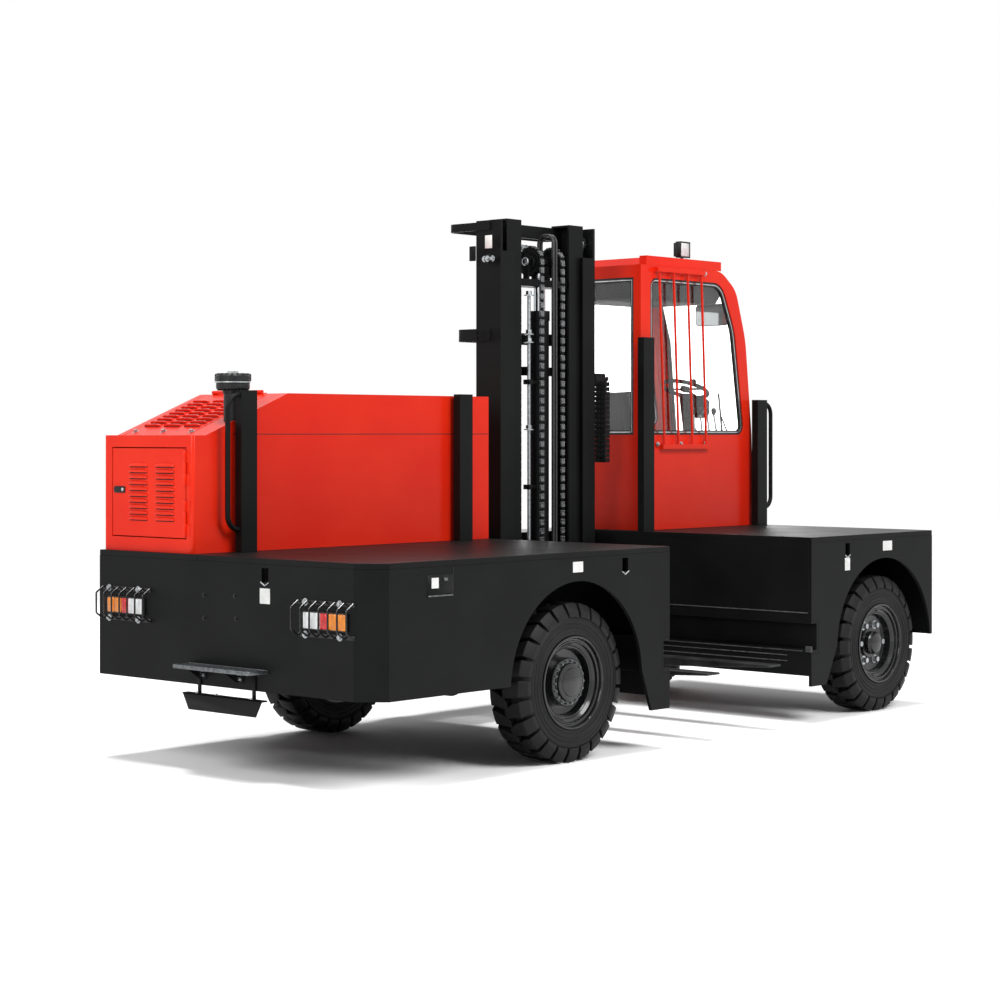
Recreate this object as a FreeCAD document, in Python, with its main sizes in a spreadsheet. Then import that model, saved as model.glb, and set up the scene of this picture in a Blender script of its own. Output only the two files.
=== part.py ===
"""Side-loading forklift truck: chassis, cab, hood, traversing mast and running gear.

+Z is up, the truck drives towards -Y and its load side faces -X.  The origin lies on the
ground below the middle of the truck.  All sizes are millimetres.
"""
import FreeCAD, Part
import Sketcher
import math
import os
import re

SIZES = {
    # layout, from the two axles
    "overall_width": 2090, "wheelbase": 3000, "rear_overhang": 1535, "front_overhang": 565,
    "rear_wall_ahead": 788, "front_wall_behind": 818, "running_gap": 0.3, "bore_gap": 0.03,
    # platforms and frame
    "deck_height": 1120, "deck_plate": 30, "skirt_bottom": 450, "skirt_plate": 20,
    "leg_bottom": 222, "leg_width": 162, "arch_radius": 540, "corner_side": 111, "corner_rear": 131,
    "wall_plate": 25, "wall_bottom": 283, "bay_edge": 60,
    "rail_width": 60, "rail_bottom": 600, "rear_rail_gap": 125, "front_rail_gap": 245,
    "engine_seat": 900, "bearer_depth": 60, "bearer_width": 80, "bearer_place": 400,
    "track_bottom": 420, "track_height": 200, "track_depth": 75, "track_plate": 20,
    "spine_width": 325, "spine_bottom": 450,
    "sling_low": 1000, "sling_height": 72, "sling_width": 50, "sling_place": 394, "sling_side": 765,
    # steps below the rear face
    "step_reach": 40, "step_plate": 8, "step_width": 610, "step_inset": 735,
    "upper_step": 541, "upper_depth": 120, "upper_thick": 20, "upper_taper": 20,
    "lower_step": 410, "lower_flange": 86, "lower_taper": 48,
    "strap_width": 24, "strap_inset": 84,
    # running gear
    "tyre_radius": 425, "tyre_width": 250, "tyre_bore": 247, "tyre_inset": 30,
    "lug_height": 20, "lug_width": 54, "lug_length": 105,
    "rim_thickness": 12, "rim_dish": 90, "hub_radius": 130, "hub_inset": 15,
    "axle_radius": 70, "casing_radius": 140, "casing_half": 130,
    "kingpin_inset": 25, "kingpin_radius": 24, "pin_eye": 48, "eye_arm": 140, "beam_depth": 90,
    "swivel_half": 60, "eye_half": 110,
    # hood and engine
    "hood_width": 731, "hood_inset": 30, "hood_wall": 25, "hood_seam": 1737, "hood_top": 1965,
    "hood_round": 20, "slope_start": 121, "slope_end": 707, "lid_margin": 150, "lid_edge": 50,
    "door_low": 1194, "door_high": 1674, "door_outer": 70, "door_width": 614, "door_gap": 6,
    "engine_length": 1100, "engine_width": 560, "engine_height": 700,
    "hinge_barrel": 10, "hinge_pin": 5, "hinge_length": 60, "hinge_leaf": 35, "leaf_plate": 5,
    "hinge_margin": 60,
    "intake_side": 45, "intake_rear": 350, "intake_neck": 50, "intake_bowl": 94,
    "intake_lift": 14, "intake_bowl_height": 90, "intake_band": 98, "intake_band_height": 14,
    # posts and their grab handles
    "post_place": 758, "post_thick": 50, "post_width": 110, "post_top": 1975, "tall_post_top": 2363,
    "first_post": 303, "second_post": 223, "last_post": 20,
    "handle_radius": 14, "handle_stand": 75, "handle_top": 24, "handle_foot": 120,
    # lamps and their guards
    "lamp_low": 790, "lamp_height": 80, "lamp_width": 55, "lamp_pitch": 60, "lamp_depth": 25,
    "left_lamps": 86, "right_lamps": 1621, "head_lamp": 60, "head_lamp_inset": 150,
    "guard_wire": 5, "guard_low": 752, "guard_height": 172, "guard_stand": 55, "guard_margin": 45,
    # cab
    "cab_width": 727, "cab_rear_inset": 71, "cab_wall": 40, "cab_top": 2838,
    "cab_front_inset": 70, "waist_inset": 90, "temple_inset": 161, "brow_inset": 272, "roof_inset": 440,
    "temple_drop": 454, "brow_drop": 121, "temple_round": 800, "brow_round": 200,
    "window_low": 1737, "window_drop": 81, "window_margin": 100, "foot_inset": 175,
    "bend_inset": 285, "bend_drop": 394, "head_inset": 430, "window_round": 60, "head_round": 140,
    "bend_round": 400, "door_frame": 60,
    "glass": 6, "glass_inset": 15, "pillar": 60, "sill": 1180, "screen_low": 1420, "screen_foot": 80,
    "slat_rise": 61, "slat_plate": 12,
    "guard_rod": 6, "guard_rod_stand": 24, "guard_rod_lean": 56, "guard_rod_first": 164,
    "guard_rod_pitch": 151,
    "guard_bar_low": 1660, "guard_bar_high": 2812, "guard_bar": 30, "guard_bar_plate": 8,
    "guard_bar_tail": 30,
    "work_lamp_side": 440, "work_lamp_inset": 500, "work_lamp_face": 110, "work_lamp_depth": 65,
    "work_lamp_foot": 40, "work_lamp_stem": 12,
    "mirror_side": 408, "mirror_width": 270, "mirror_inset": 293, "mirror_plate": 22, "mirror_low": 2480,
    "mirror_height": 150, "mirror_stem": 8,
    # inside the cab
    "seat_side": 130, "seat_width": 440, "seat_inset": 600, "seat_depth": 500, "seat_height": 1540,
    "cushion": 120, "seat_top": 2046, "back_thick": 120, "back_inset": 1040, "seat_base_side": 200,
    "seat_base_width": 320, "seat_base_inset": 680, "seat_base_depth": 340,
    "column_side": 300, "column_width": 120, "column_foot": 140, "column_depth": 100,
    "column_head": 320, "column_neck": 60, "column_drop": 24.5,
    "side_box_width": 110, "side_box_inset": 240, "side_box_length": 660, "side_box_top": 1720,
    "hand_wheel_side": 360, "hand_wheel_inset": 361, "hand_wheel_height": 2050, "hand_wheel": 157,
    "hand_wheel_rim": 14, "hand_wheel_boss": 32,
    # mast
    "mast_front": 606, "mast_half": 450, "mast_room": 135, "mast_depth": 202, "mast_bottom": 330,
    "mast_top": 3050,
    "outer_web": 20, "outer_flange": 22, "outer_width": 120, "notch_height": 190,
    "inner_place": 127, "inner_web": 16, "inner_flange": 14, "inner_width": 95, "inner_wing": 40,
    "mast_gap": 5, "inner_lift": 45, "inner_rise": 30, "inner_cap": 12,
    "tie_height": 40, "clamp_height": 55, "clamp_level": 2110, "tie_plate": 20,
    "top_bow": 237, "top_bow_drop": 10, "top_bow_height": 50,
    "middle_bow": 170, "middle_bow_level": 2312, "middle_bow_height": 75,
    "bow_plate": 10, "bow_lap": 120, "bow_round": 60,
    "guide_roller": 40, "guide_drop": 100, "foot_roller_rise": 170, "roller_shaft": 20,
    "barrel_radius": 62, "rod_radius": 38, "gland_radius": 67, "gland_top": 2510, "gland_height": 60,
    "cylinder_place": 81, "rod_top": 2660, "crosshead": 45,
    "sheave_place": 66, "sheave_height": 2812, "sheave_radius": 85, "sheave_side": 84, "sheave_width": 30,
    "chain_thick": 16, "chain_foot": 700, "sheave_pin": 18, "sheave_lug": 16, "sheave_lug_half": 20,
    # carriages
    "pivot_height": 100, "pivot_radius": 25, "cheek_gap": 10, "cheek_plate": 40, "cheek_top": 780,
    "tower_top": 1000, "carriage_tail": 55, "end_gap": 15, "end_plate": 20,
    "tilt_start": 40, "tilt_height": 927, "tilt_barrel": 22, "tilt_rod": 10, "tilt_barrel_length": 130,
    "tilt_seat": 60, "tilt_reach": 205, "tilt_rod_start": 60, "eye_radius": 24, "eye_hole": 16,
    "eye_width": 20,
    "tilt_side": 30,
    "fork_bar": 40, "fork_bar_stand": 95, "fork_bar_width": 860, "fork_bar_low": 400, "fork_bar_high": 810,
    "fork_bar_height": 100, "side_plate": 20, "side_gap": 8, "side_low": 430, "side_high": 900,
    "side_reach": 150,
    "carriage_roller_low": 500, "carriage_roller_high": 830, "fork_tie": 14,
    "fork_length": 1400, "fork_width": 120, "fork_thick": 50, "fork_spread": 606,
    "fork_top": 385, "fork_heel": 600, "fork_tip": 12, "fork_shank": 40,
    # hose chain beside the mast
    "hose_chain_side": 0, "hose_chain_width": 100, "hose_chain_low": 1560, "hose_chain_top": 2130,
    "hose_chain_near": 20, "hose_chain_far": 150, "hose_chain_thick": 50, "hose_chain_round": 90,
}

doc = FreeCAD.newDocument("Sideloader")
sheet = doc.addObject("Spreadsheet::Sheet", "Sizes")
for row, (alias, size) in enumerate(SIZES.items(), start=1):
    sheet.set(f"A{row}", alias)
    sheet.set(f"B{row}", str(size))
    sheet.setAlias(f"B{row}", alias)
doc.recompute()

# Places that many pieces share, as formulas of the sheet.
LEFT, RIGHT = "(overall_width / 2)", "(-overall_width / 2)"
BODY = "(rear_overhang + wheelbase + front_overhang)"
REAR = f"(({BODY} - upper_depth + handle_stand + handle_radius - last_post) / 2)"
FRONT = f"({REAR} - {BODY})"
DRIVE = f"({REAR} - rear_overhang)"
STEER = f"({DRIVE} - wheelbase)"
WELL_REAR = f"({DRIVE} - rear_wall_ahead)"
WELL_FRONT = f"({STEER} + front_wall_behind)"
DECK_UNDER = "(deck_height - deck_plate)"
TRACK_TOP = "(track_bottom + track_height)"
HOOD_SIDE = f"({LEFT} - hood_width)"
HOOD_REAR = f"({REAR} - hood_inset)"
CAB_SIDE = f"({LEFT} - cab_width)"
CAB_REAR = f"({WELL_FRONT} - cab_rear_inset)"
POST_X = (f"({LEFT} - post_place - post_thick)", f"({LEFT} - post_place)")
TYRE_OUTER = f"({LEFT} - tyre_inset)"
TYRE_INNER = f"({TYRE_OUTER} - tyre_width)"
KINGPIN = f"({TYRE_INNER} + kingpin_inset)"
MAST_Y = f"(({WELL_REAR} + {WELL_FRONT}) / 2)"
WELL_HALF = f"(({WELL_REAR} - {WELL_FRONT}) / 2)"
HALF = f"min(mast_half; {WELL_HALF} - mast_room)"
MAST_X = f"({LEFT} - mast_front)"
MAST_BACK = f"({MAST_X} + mast_depth)"

SIDES = {"right": -1, "left": 1}
ENDS = {"rear": 1, "front": -1}
TURNED = {
    "x": FreeCAD.Rotation(FreeCAD.Vector(0, 1, 0), 90),
    "y": FreeCAD.Rotation(FreeCAD.Vector(1, 0, 0), -90),
    "z": FreeCAD.Rotation(),
}
AXES = {"x": FreeCAD.Vector(1, 0, 0), "y": FreeCAD.Vector(0, 1, 0), "z": FreeCAD.Vector(0, 0, 1)}
PLANES = {"x": "YZ_Plane", "y": "XZ_Plane", "z": "XY_Plane"}
parts = []


def bind(item, setting, formula):
    """Ties one setting of a document object to a formula of the sheet's sizes."""
    item.setExpression(setting, re.sub(
        r"[a-z_]+", lambda word: f"Sizes.{word[0]}" if word[0] in SIZES else word[0], str(formula)))


def block(name, x, y, z):
    """A rectangular block from the low to the high place along each axis."""
    solid = doc.addObject("Part::Box", name)
    for size, place, (low, high) in zip(("Length", "Width", "Height"), "xyz", (x, y, z)):
        bind(solid, size, f"({high}) - ({low})")
        bind(solid, f"Placement.Base.{place}", low)
    return solid


def bar(name, along, centre, radius, span):
    """A round bar along one axis; centre gives its place on the other two axes."""
    solid = doc.addObject("Part::Cylinder", name)
    solid.Placement.Rotation = TURNED[along]
    bind(solid, "Radius", radius)
    bind(solid, "Height", f"({span[1]}) - ({span[0]})")
    bind(solid, f"Placement.Base.{along}", span[0])
    for place, formula in zip([axis for axis in "xyz" if axis != along], centre):
        bind(solid, f"Placement.Base.{place}", formula)
    return solid


def outline(body, name, along, loops, level):
    """A sketch across one axis of a body, with every corner tied to a formula."""
    sketch = body.newObject("Sketcher::SketchObject", name)
    plane = next(item for item in body.Origin.OriginFeatures if item.Role == PLANES[along])
    sketch.AttachmentSupport = (plane, [""])
    sketch.MapMode = "FlatFace"
    bind(sketch, "AttachmentOffset.Base.z", level)
    for corners in loops:
        first = sketch.GeometryCount
        count = len(corners)
        points = [FreeCAD.Vector(math.cos(math.tau * turn / count), math.sin(math.tau * turn / count))
                  for turn in range(count)]
        for here, there in zip(points, points[1:] + points[:1]):
            sketch.addGeometry(Part.LineSegment(here, there))
        for turn, (point, corner) in enumerate(zip(points, corners)):
            line, ahead = first + turn, first + (turn + 1) % count
            sketch.addConstraint(Sketcher.Constraint("Coincident", line, 2, ahead, 1))
            for kind, value, formula in (("DistanceX", point.x, corner[0]),
                                         ("DistanceY", point.y, corner[1])):
                index = sketch.addConstraint(Sketcher.Constraint(kind, -1, 1, line, 1, value))
                bind(sketch, f"Constraints[{index}]", formula)
    return sketch


def plate(name, along, span, *loops):
    """A padded outline from the low to the high place along one axis; further loops are holes."""
    body = doc.addObject("PartDesign::Body", name)
    level = f"-({span[1]})" if along == "y" else span[0]
    sketch = outline(body, name + "_outline", along, loops, level)
    pad = body.newObject("PartDesign::Pad", name + "_pad")
    pad.Profile = sketch
    bind(pad, "Length", f"({span[1]}) - ({span[0]})")
    return body


def soften(body, chosen, radius):
    """Rounds the straight edges of a body that chosen accepts."""
    doc.recompute()
    base = body.Tip
    names = [f"Edge{number}" for number, edge in enumerate(base.Shape.Edges, start=1)
             if isinstance(edge.Curve, Part.Line) and chosen(edge)]
    rounding = body.newObject("PartDesign::Fillet", body.Name + "_rounding")
    rounding.Base = (base, names)
    bind(rounding, "Radius", radius)
    return body


def at_corners(body, *numbers):
    """Chooses the padded edges at the numbered corners of a body's outline."""
    doc.recompute()
    sketch = body.Group[0]
    places = [sketch.Placement.multVec(sketch.getPoint(number, 1)) for number in numbers]
    along = sketch.Placement.Rotation.multVec(AXES["z"])

    def chosen(edge):
        run = edge.Vertexes[-1].Point - edge.Vertexes[0].Point
        beside = (edge.Vertexes[0].Point - place for place in places)
        return run.cross(along).Length < 1e-3 and any(gap.cross(along).Length < 1e-3 for gap in beside)

    return chosen


def at_far_end(body, along, across):
    """Chooses the edges along one axis that lie on a body's far end across it."""
    doc.recompute()
    far = getattr(body.Tip.Shape.BoundBox, f"{across.upper()}Max")

    def chosen(edge):
        run = edge.Vertexes[-1].Point - edge.Vertexes[0].Point
        return run.cross(AXES[along]).Length < 1e-3 and abs(getattr(edge.CenterOfMass, across) - far) < 1e-3

    return chosen


def turned(name, corners):
    """A ring turned about the X axis; each corner gives a place along X and a radius."""
    body = doc.addObject("PartDesign::Body", name)
    sketch = outline(body, name + "_outline", "z", [corners], "0")
    ring = body.newObject("PartDesign::Revolution", name + "_turn")
    ring.Profile = sketch
    ring.ReferenceAxis = (sketch, ["H_Axis"])
    return body


def elbow(name, centre, start, finish, bend, radius):
    """A quarter bend of a round tube, from the start direction to the finish direction."""
    solid = doc.addObject("Part::Torus", name)
    solid.Angle3 = 90
    solid.Placement.Rotation = FreeCAD.Rotation(start, finish, start.cross(finish), "XYZ")
    bind(solid, "Radius1", bend)
    bind(solid, "Radius2", radius)
    return move(solid, *centre)


def fuse(name, *pieces):
    """Several shapes as one piece."""
    whole = doc.addObject("Part::MultiFuse", name)
    whole.Shapes = list(pieces)
    return whole


def cut(name, base, *tools):
    """A piece with one or more shapes taken out of it."""
    whole = doc.addObject("Part::Cut", name)
    whole.Base = base
    whole.Tool = tools[0] if len(tools) == 1 else fuse(name + "_tools", *tools)
    return whole


def group(name, *pieces):
    """Like pieces that don't touch, kept in one file."""
    whole = doc.addObject("Part::Compound", name)
    whole.Links = list(pieces)
    return whole


def move(piece, x=None, y=None, z=None):
    """Sets a piece down at a place given by formulas."""
    for place, formula in (("x", x), ("y", y), ("z", z)):
        if formula is not None:
            bind(piece, f"Placement.Base.{place}", formula)
    return piece


def keep(label, piece):
    """Names a finished sub-part after its file."""
    piece.Label = label
    parts.append(piece)
    return piece


def box_loop(a, b):
    """The four corners of a rectangle between two places on each axis."""
    return [(a[0], b[0]), (a[1], b[0]), (a[1], b[1]), (a[0], b[1])]


def mirrored(side, low, high):
    """A span along X on the named side, given as it is on the left side."""
    return (low, high) if side > 0 else (f"-({high})", f"-({low})")


def ahead(distance):
    """A place along Y from its distance behind the front face."""
    return f"({FRONT} + ({distance}))"


def about(middle, half):
    """A span of equal reach to both sides of a place."""
    return f"({middle}) - ({half})", f"({middle}) + ({half})"


# ---------------------------------------------------------------- rear and front platforms
SLING = ("sling_low", "sling_low + sling_height")


def section(end, wall_y, axle, rail_gap):
    """One platform: load deck, skirts with wheel arches, end plate and welded frame."""
    outward = ENDS[end]
    end_y, cut_off = (REAR, True) if outward > 0 else (FRONT, False)
    out, back = ("+", "-") if outward > 0 else ("-", "+")

    def span(near, far):
        return (near, far) if outward > 0 else (far, near)

    side_end = f"{end_y} {back} corner_side" if cut_off else end_y
    cut_x = f"{RIGHT} + corner_rear" if cut_off else RIGHT
    inner = f"{end_y} {back} skirt_plate"
    wall_far = f"{wall_y} {out} wall_plate"
    inside = (f"{RIGHT} + skirt_plate", f"{LEFT} - skirt_plate")

    # load platform, beside the hood or cab and its posts
    platform = [(RIGHT, wall_y), (POST_X[0], wall_y), (POST_X[0], end_y), (cut_x, end_y)]
    if cut_off:
        platform.append((RIGHT, side_end))
    keep(f"{end}_deck", plate(f"{end}_deck", "z", (DECK_UNDER, "deck_height"), platform))

    # skirts with the wheel arch and, on the load side, the notch that the track comes out of
    skirts = []
    for side_name, side in SIDES.items():
        low, high = mirrored(side, f"{LEFT} - skirt_plate", LEFT)
        far = side_end if side < 0 else end_y
        sheet = plate(f"{end}_skirt_{side_name}", "x", (low, high), [
            (wall_y, "leg_bottom"), (f"{wall_y} {out} leg_width", "leg_bottom"),
            (f"{axle} {back} arch_radius", "skirt_bottom"), (far, "skirt_bottom"),
            (far, DECK_UNDER), (wall_y, DECK_UNDER)])
        through = (f"{low} - skirt_plate", f"{high} + skirt_plate")
        tools = [bar(f"{end}_arch_{side_name}", "x", (axle, "tyre_radius"), "arch_radius", through)]
        if side < 0:
            tools.append(block(f"{end}_notch", through, about(wall_y, "track_depth"),
                               ("track_bottom", TRACK_TOP)))
            tools.append(block(f"{end}_side_sling", through,
                               about(f"{wall_y} {out} sling_place", "sling_width / 2"),
                               SLING))
        skirts.append(cut(f"{end}_skirt_{side_name}_cut", sheet, *tools))
    keep(f"{end}_skirts", group(f"{end}_skirts", *skirts))

    # end plate between the skirts, with the rear one's cut-off corner on the load side
    near = cut_x if cut_off else f"{cut_x} + skirt_plate"
    face = plate(f"{end}_plate_sheet", "z", ("skirt_bottom", DECK_UNDER),
                 box_loop((near, inside[1]), span(inner, end_y)))
    if cut_off:
        face = fuse(f"{end}_plate_sheets", face, plate(f"{end}_corner", "z", ("skirt_bottom", DECK_UNDER), [
            (cut_x, end_y), (RIGHT, side_end), (inside[0], side_end), (cut_x, inner)]))
    slot = block(f"{end}_end_sling", about(f"{RIGHT} + sling_side", "sling_width / 2"),
                 about(end_y, "2 * skirt_plate"), SLING)
    keep(f"{end}_plate", cut(f"{end}_end_face", face, slot))

    # frame: well wall with its sunk track, two rails, and the sill that carries hood or cab
    walls = [block(f"{end}_wall_{name}", inside, span(wall_y, wall_far), (low, high))
             for name, low, high in (("low", "wall_bottom", "track_bottom"), ("high", TRACK_TOP, DECK_UNDER))]
    track_far = f"{wall_y} {out} track_depth"
    track = [block(f"{end}_track_{name}", (RIGHT, inside[1]), span(start, track_far), (low, high))
             for name, start, low, high in (
                 ("low", wall_y, "track_bottom", "track_bottom + track_plate"),
                 ("high", wall_y, f"{TRACK_TOP} - track_plate", TRACK_TOP),
                 ("back", f"{track_far} {back} track_plate", "track_bottom", TRACK_TOP))]
    rail = f"({TYRE_INNER} - {rail_gap})"
    rails = [block(f"{end}_rail_{name}", mirrored(side, f"{rail} - rail_width", rail),
                   span(wall_far, inner), ("rail_bottom", top))
             for name, side, top in (("right", -1, DECK_UNDER), ("left", 1, "engine_seat"))]
    sill = plate(f"{end}_sill", "z", (DECK_UNDER, "deck_height"),
                 box_loop((POST_X[0], LEFT), (wall_y, end_y)),
                 box_loop((f"{HOOD_SIDE} + bay_edge", f"{LEFT} - bay_edge"),
                          (f"{wall_y} {out} bay_edge", f"{end_y} {back} 2 * bay_edge")))
    bearers = [block(f"{end}_bearer_{number}", (f"-{rail}", inside[1]),
                     about(f"{axle} + {place} * bearer_place", "bearer_width / 2"),
                     ("engine_seat - bearer_depth", "engine_seat"))
               for number, place in enumerate((-1, 1) if end == "rear" else ())]
    keep(f"{end}_frame", fuse(f"{end}_frame", *walls, *track, *rails, sill, *bearers))
    return rail


REAR_RAIL = section("rear", WELL_REAR, DRIVE, "rear_rail_gap")
FRONT_RAIL = section("front", WELL_FRONT, STEER, "front_rail_gap")

keep("spine_beam", block(
    "spine_beam", (f"{LEFT} - spine_width", LEFT), (WELL_FRONT, WELL_REAR), ("spine_bottom", "deck_height")))

# ---------------------------------------------------------------- wheels
LUGS = 24
CARCASS = "(tyre_radius - lug_height)"
HUB_INNER = f"({TYRE_OUTER} - rim_dish - rim_thickness)"


def spun(name, piece, angle, place):
    """The same piece again, turned about a wheel's axle line and set down on that axle."""
    copy = group(name, piece)
    copy.Placement.Rotation = FreeCAD.Rotation(AXES["x"], angle)
    return move(copy, y=place, z="tyre_radius")


def wheel(axle_name, place, side_name, side):
    """A tyre with its lugs, and the dished rim that it sits on."""
    name = f"{axle_name}_{side_name}"
    inner, outer = mirrored(side, TYRE_INNER, TYRE_OUTER)
    carcass = doc.addObject("Part::Prism", f"carcass_{name}")
    carcass.Polygon = 2 * LUGS
    carcass.Placement.Rotation = TURNED["x"]
    bind(carcass, "Circumradius", CARCASS)
    bind(carcass, "Height", f"({outer}) - ({inner})")
    move(carcass, x=inner)
    lug_rise = (f"{CARCASS} - lug_height", "tyre_radius")
    shoulders = [block(f"lug_{name}_{number}", span, about("0", "lug_width / 2"), lug_rise)
                 for number, span in enumerate(((inner, f"{inner} + lug_length"),
                                                (f"{outer} - lug_length", outer)))]
    lugs = [spun(f"lug_{name}_{number}_{turn}", lug, (turn + number / 2) * 360 / LUGS, place)
            for number, lug in enumerate(shoulders) for turn in range(LUGS)]
    hole = bar(f"bore_{name}", "x", (place, "tyre_radius"), "tyre_bore", (inner, outer))
    keep(f"tyre_{name}", cut(f"tyre_{name}", fuse(
        f"casing_{name}", spun(f"round_{name}", carcass, 0, place), *lugs), hole))

    def at(formula):
        return formula if side > 0 else f"-({formula})"

    rim = turned(f"rim_{name}", [
        (at(TYRE_INNER), "tyre_bore - rim_thickness"), (at(TYRE_INNER), "tyre_bore"),
        (at(TYRE_OUTER), "tyre_bore"), (at(TYRE_OUTER), "tyre_bore - rim_thickness"),
        (at(f"{HUB_INNER} + rim_thickness"), "tyre_bore - 2 * rim_thickness"),
        (at(f"{HUB_INNER} + rim_thickness"), "hub_radius"), (at(f"{TYRE_OUTER} - hub_inset"), "hub_radius"),
        (at(f"{TYRE_OUTER} - hub_inset"), "0"), (at(HUB_INNER), "0"),
        (at(HUB_INNER), "tyre_bore - 2 * rim_thickness")])
    keep(f"rim_{name}", move(rim, y=place, z="tyre_radius"))


for axle_name, place in (("rear", DRIVE), ("front", STEER)):
    for side_name, side in SIDES.items():
        wheel(axle_name, place, side_name, side)

# ---------------------------------------------------------------- axles and steering
AXLE_END = f"({HUB_INNER} - running_gap)"
drive_seats = [
    block(f"drive_seat_{name}", mirrored(side, f"{REAR_RAIL} - rail_width", REAR_RAIL),
          about(DRIVE, "axle_radius"), ("tyre_radius", "rail_bottom"))
    for name, side in SIDES.items()]
keep("drive_axle", fuse(
    "drive_axle",
    bar("drive_tube", "x", (DRIVE, "tyre_radius"), "axle_radius", (f"-{AXLE_END}", AXLE_END)),
    bar("drive_casing", "x", (DRIVE, "tyre_radius"), "casing_radius", ("-casing_half", "casing_half")),
    *drive_seats))

BEAM_END = f"({KINGPIN} + pin_eye)"
beam = block("steer_beam", (f"-({KINGPIN} - 2 * pin_eye)", f"{KINGPIN} - 2 * pin_eye"),
             about(STEER, "pin_eye"), about("tyre_radius", "beam_depth"))
eyes, pin_holes, steer_seats = [], [], []
for side_name, side in SIDES.items():
    for level, low, high in (("low", "tyre_radius - eye_half", "tyre_radius - swivel_half"),
                             ("high", "tyre_radius + swivel_half", "tyre_radius + eye_half")):
        eyes.append(block(f"eye_{level}_{side_name}", mirrored(side, f"{KINGPIN} - eye_arm", BEAM_END),
                          about(STEER, "pin_eye"), (low, high)))
    pin_holes.append(bar(f"pin_hole_{side_name}", "z", (f"{side} * {KINGPIN}", STEER),
                         "kingpin_radius + running_gap", about("tyre_radius", "eye_half + pin_eye")))
    steer_seats.append(block(f"steer_seat_{side_name}", mirrored(side, f"{FRONT_RAIL} - rail_width",
                                                                 FRONT_RAIL),
                             about(STEER, "pin_eye"), ("tyre_radius", "rail_bottom")))
keep("steer_axle", cut("steer_axle", fuse("steer_axle_solid", beam, *eyes, *steer_seats), *pin_holes))

for side_name, side in SIDES.items():
    swivel = block(f"swivel_{side_name}", mirrored(side, f"{KINGPIN} - pin_eye", BEAM_END),
                   about(STEER, "pin_eye"), about("tyre_radius", "swivel_half - running_gap"))
    pin = bar(f"kingpin_{side_name}", "z", (f"{side} * {KINGPIN}", STEER), "kingpin_radius",
              about("tyre_radius", "eye_half"))
    stub = bar(f"stub_{side_name}", "x", (STEER, "tyre_radius"), "kingpin_radius * 1.5",
               mirrored(side, KINGPIN, AXLE_END))
    keep(f"knuckle_{side_name}", fuse(f"knuckle_{side_name}", swivel, pin, stub))


# ---------------------------------------------------------------- hinges
def hinge(name, along, centre, start, fixed_leaf, moving_leaf):
    """A pin hinge: the fixed half holds the pin in two barrels, the moving half turns on it.

    The leaves give the other two axes' spans of each half's plate; the pin runs along the hinge.
    """
    def leaf(half, low, high, spans):
        places = dict(zip([axis for axis in "xyz" if axis != along], spans))
        places[along] = (low, high)
        return block(f"{name}_{half}_leaf", places["x"], places["y"], places["z"])

    first, second, third, last = (f"{start} + {number} * hinge_length" for number in range(4))
    fixed = [bar(f"{name}_pin", along, centre, "hinge_pin", (first, last))]
    for low, high in ((first, second), (third, last)):
        fixed.append(bar(f"{name}_barrel", along, centre, "hinge_barrel", (low, high)))
        fixed.append(leaf("fixed", low, high, fixed_leaf))
    low, high = f"{second} + running_gap", f"{third} - running_gap"
    knuckle = bar(f"{name}_knuckle", along, centre, "hinge_barrel", (low, high))
    hole = bar(f"{name}_bore", along, centre, "hinge_pin + bore_gap", (low, high))
    moving = cut(f"{name}_moving", fuse(f"{name}_half", knuckle, leaf("moving", low, high, moving_leaf)),
                 hole)
    return fixed, moving


HINGE_OUT = "(hinge_barrel + running_gap)"

# ---------------------------------------------------------------- hood and engine
keep("engine_block", block(
    "engine_block", about(f"{LEFT} - hood_width / 2", "engine_width / 2"), about(DRIVE, "engine_length / 2"),
    ("engine_seat", "engine_seat + engine_height")))

SLOPE_LOW = (f"{REAR} - slope_start", "hood_seam")
SLOPE_HIGH = (f"{REAR} - slope_end", "hood_top")
hood_solid = plate("hood_solid", "x", (HOOD_SIDE, LEFT), [
    (WELL_REAR, "deck_height"), (HOOD_REAR, "deck_height"), (HOOD_REAR, "hood_seam"),
    SLOPE_LOW, SLOPE_HIGH, (WELL_REAR, "hood_top")])
soften(hood_solid, at_far_end(hood_solid, "z", "y"), "hood_round")
hood_room = plate("hood_room", "x", (f"{HOOD_SIDE} + hood_wall", f"{LEFT} - hood_wall"), [
    (f"{WELL_REAR} + hood_wall", "deck_height - hood_wall"),
    (f"{HOOD_REAR} - hood_wall", "deck_height - hood_wall"),
    (f"{HOOD_REAR} - hood_wall", "hood_seam - hood_wall"),
    (SLOPE_LOW[0] + " - hood_wall", "hood_seam - hood_wall"),
    (SLOPE_HIGH[0] + " - hood_wall", "hood_top - hood_wall"),
    (f"{WELL_REAR} + hood_wall", "hood_top - hood_wall")])
DOOR_X = (f"{LEFT} - door_outer - door_width", f"{LEFT} - door_outer")
LID_X = (f"{HOOD_SIDE} + lid_margin", f"{LEFT} - lid_edge")
INTAKE = (f"{HOOD_SIDE} + intake_side", f"{REAR} - intake_rear")
door_hole = block("access_hole", DOOR_X, (f"{HOOD_REAR} - 2 * hood_wall", f"{HOOD_REAR} + hood_wall"),
                  ("door_low", "door_high"))
lid_hole = block("lid_hole", LID_X, (f"{SLOPE_HIGH[0]} - door_gap", f"{SLOPE_LOW[0]} + door_gap"),
                 ("hood_seam - 2 * hood_wall", "hood_top + hood_wall"))
intake_hole = bar("intake_hole", "z", INTAKE, "intake_neck", ("hood_seam", "hood_top"))

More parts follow.
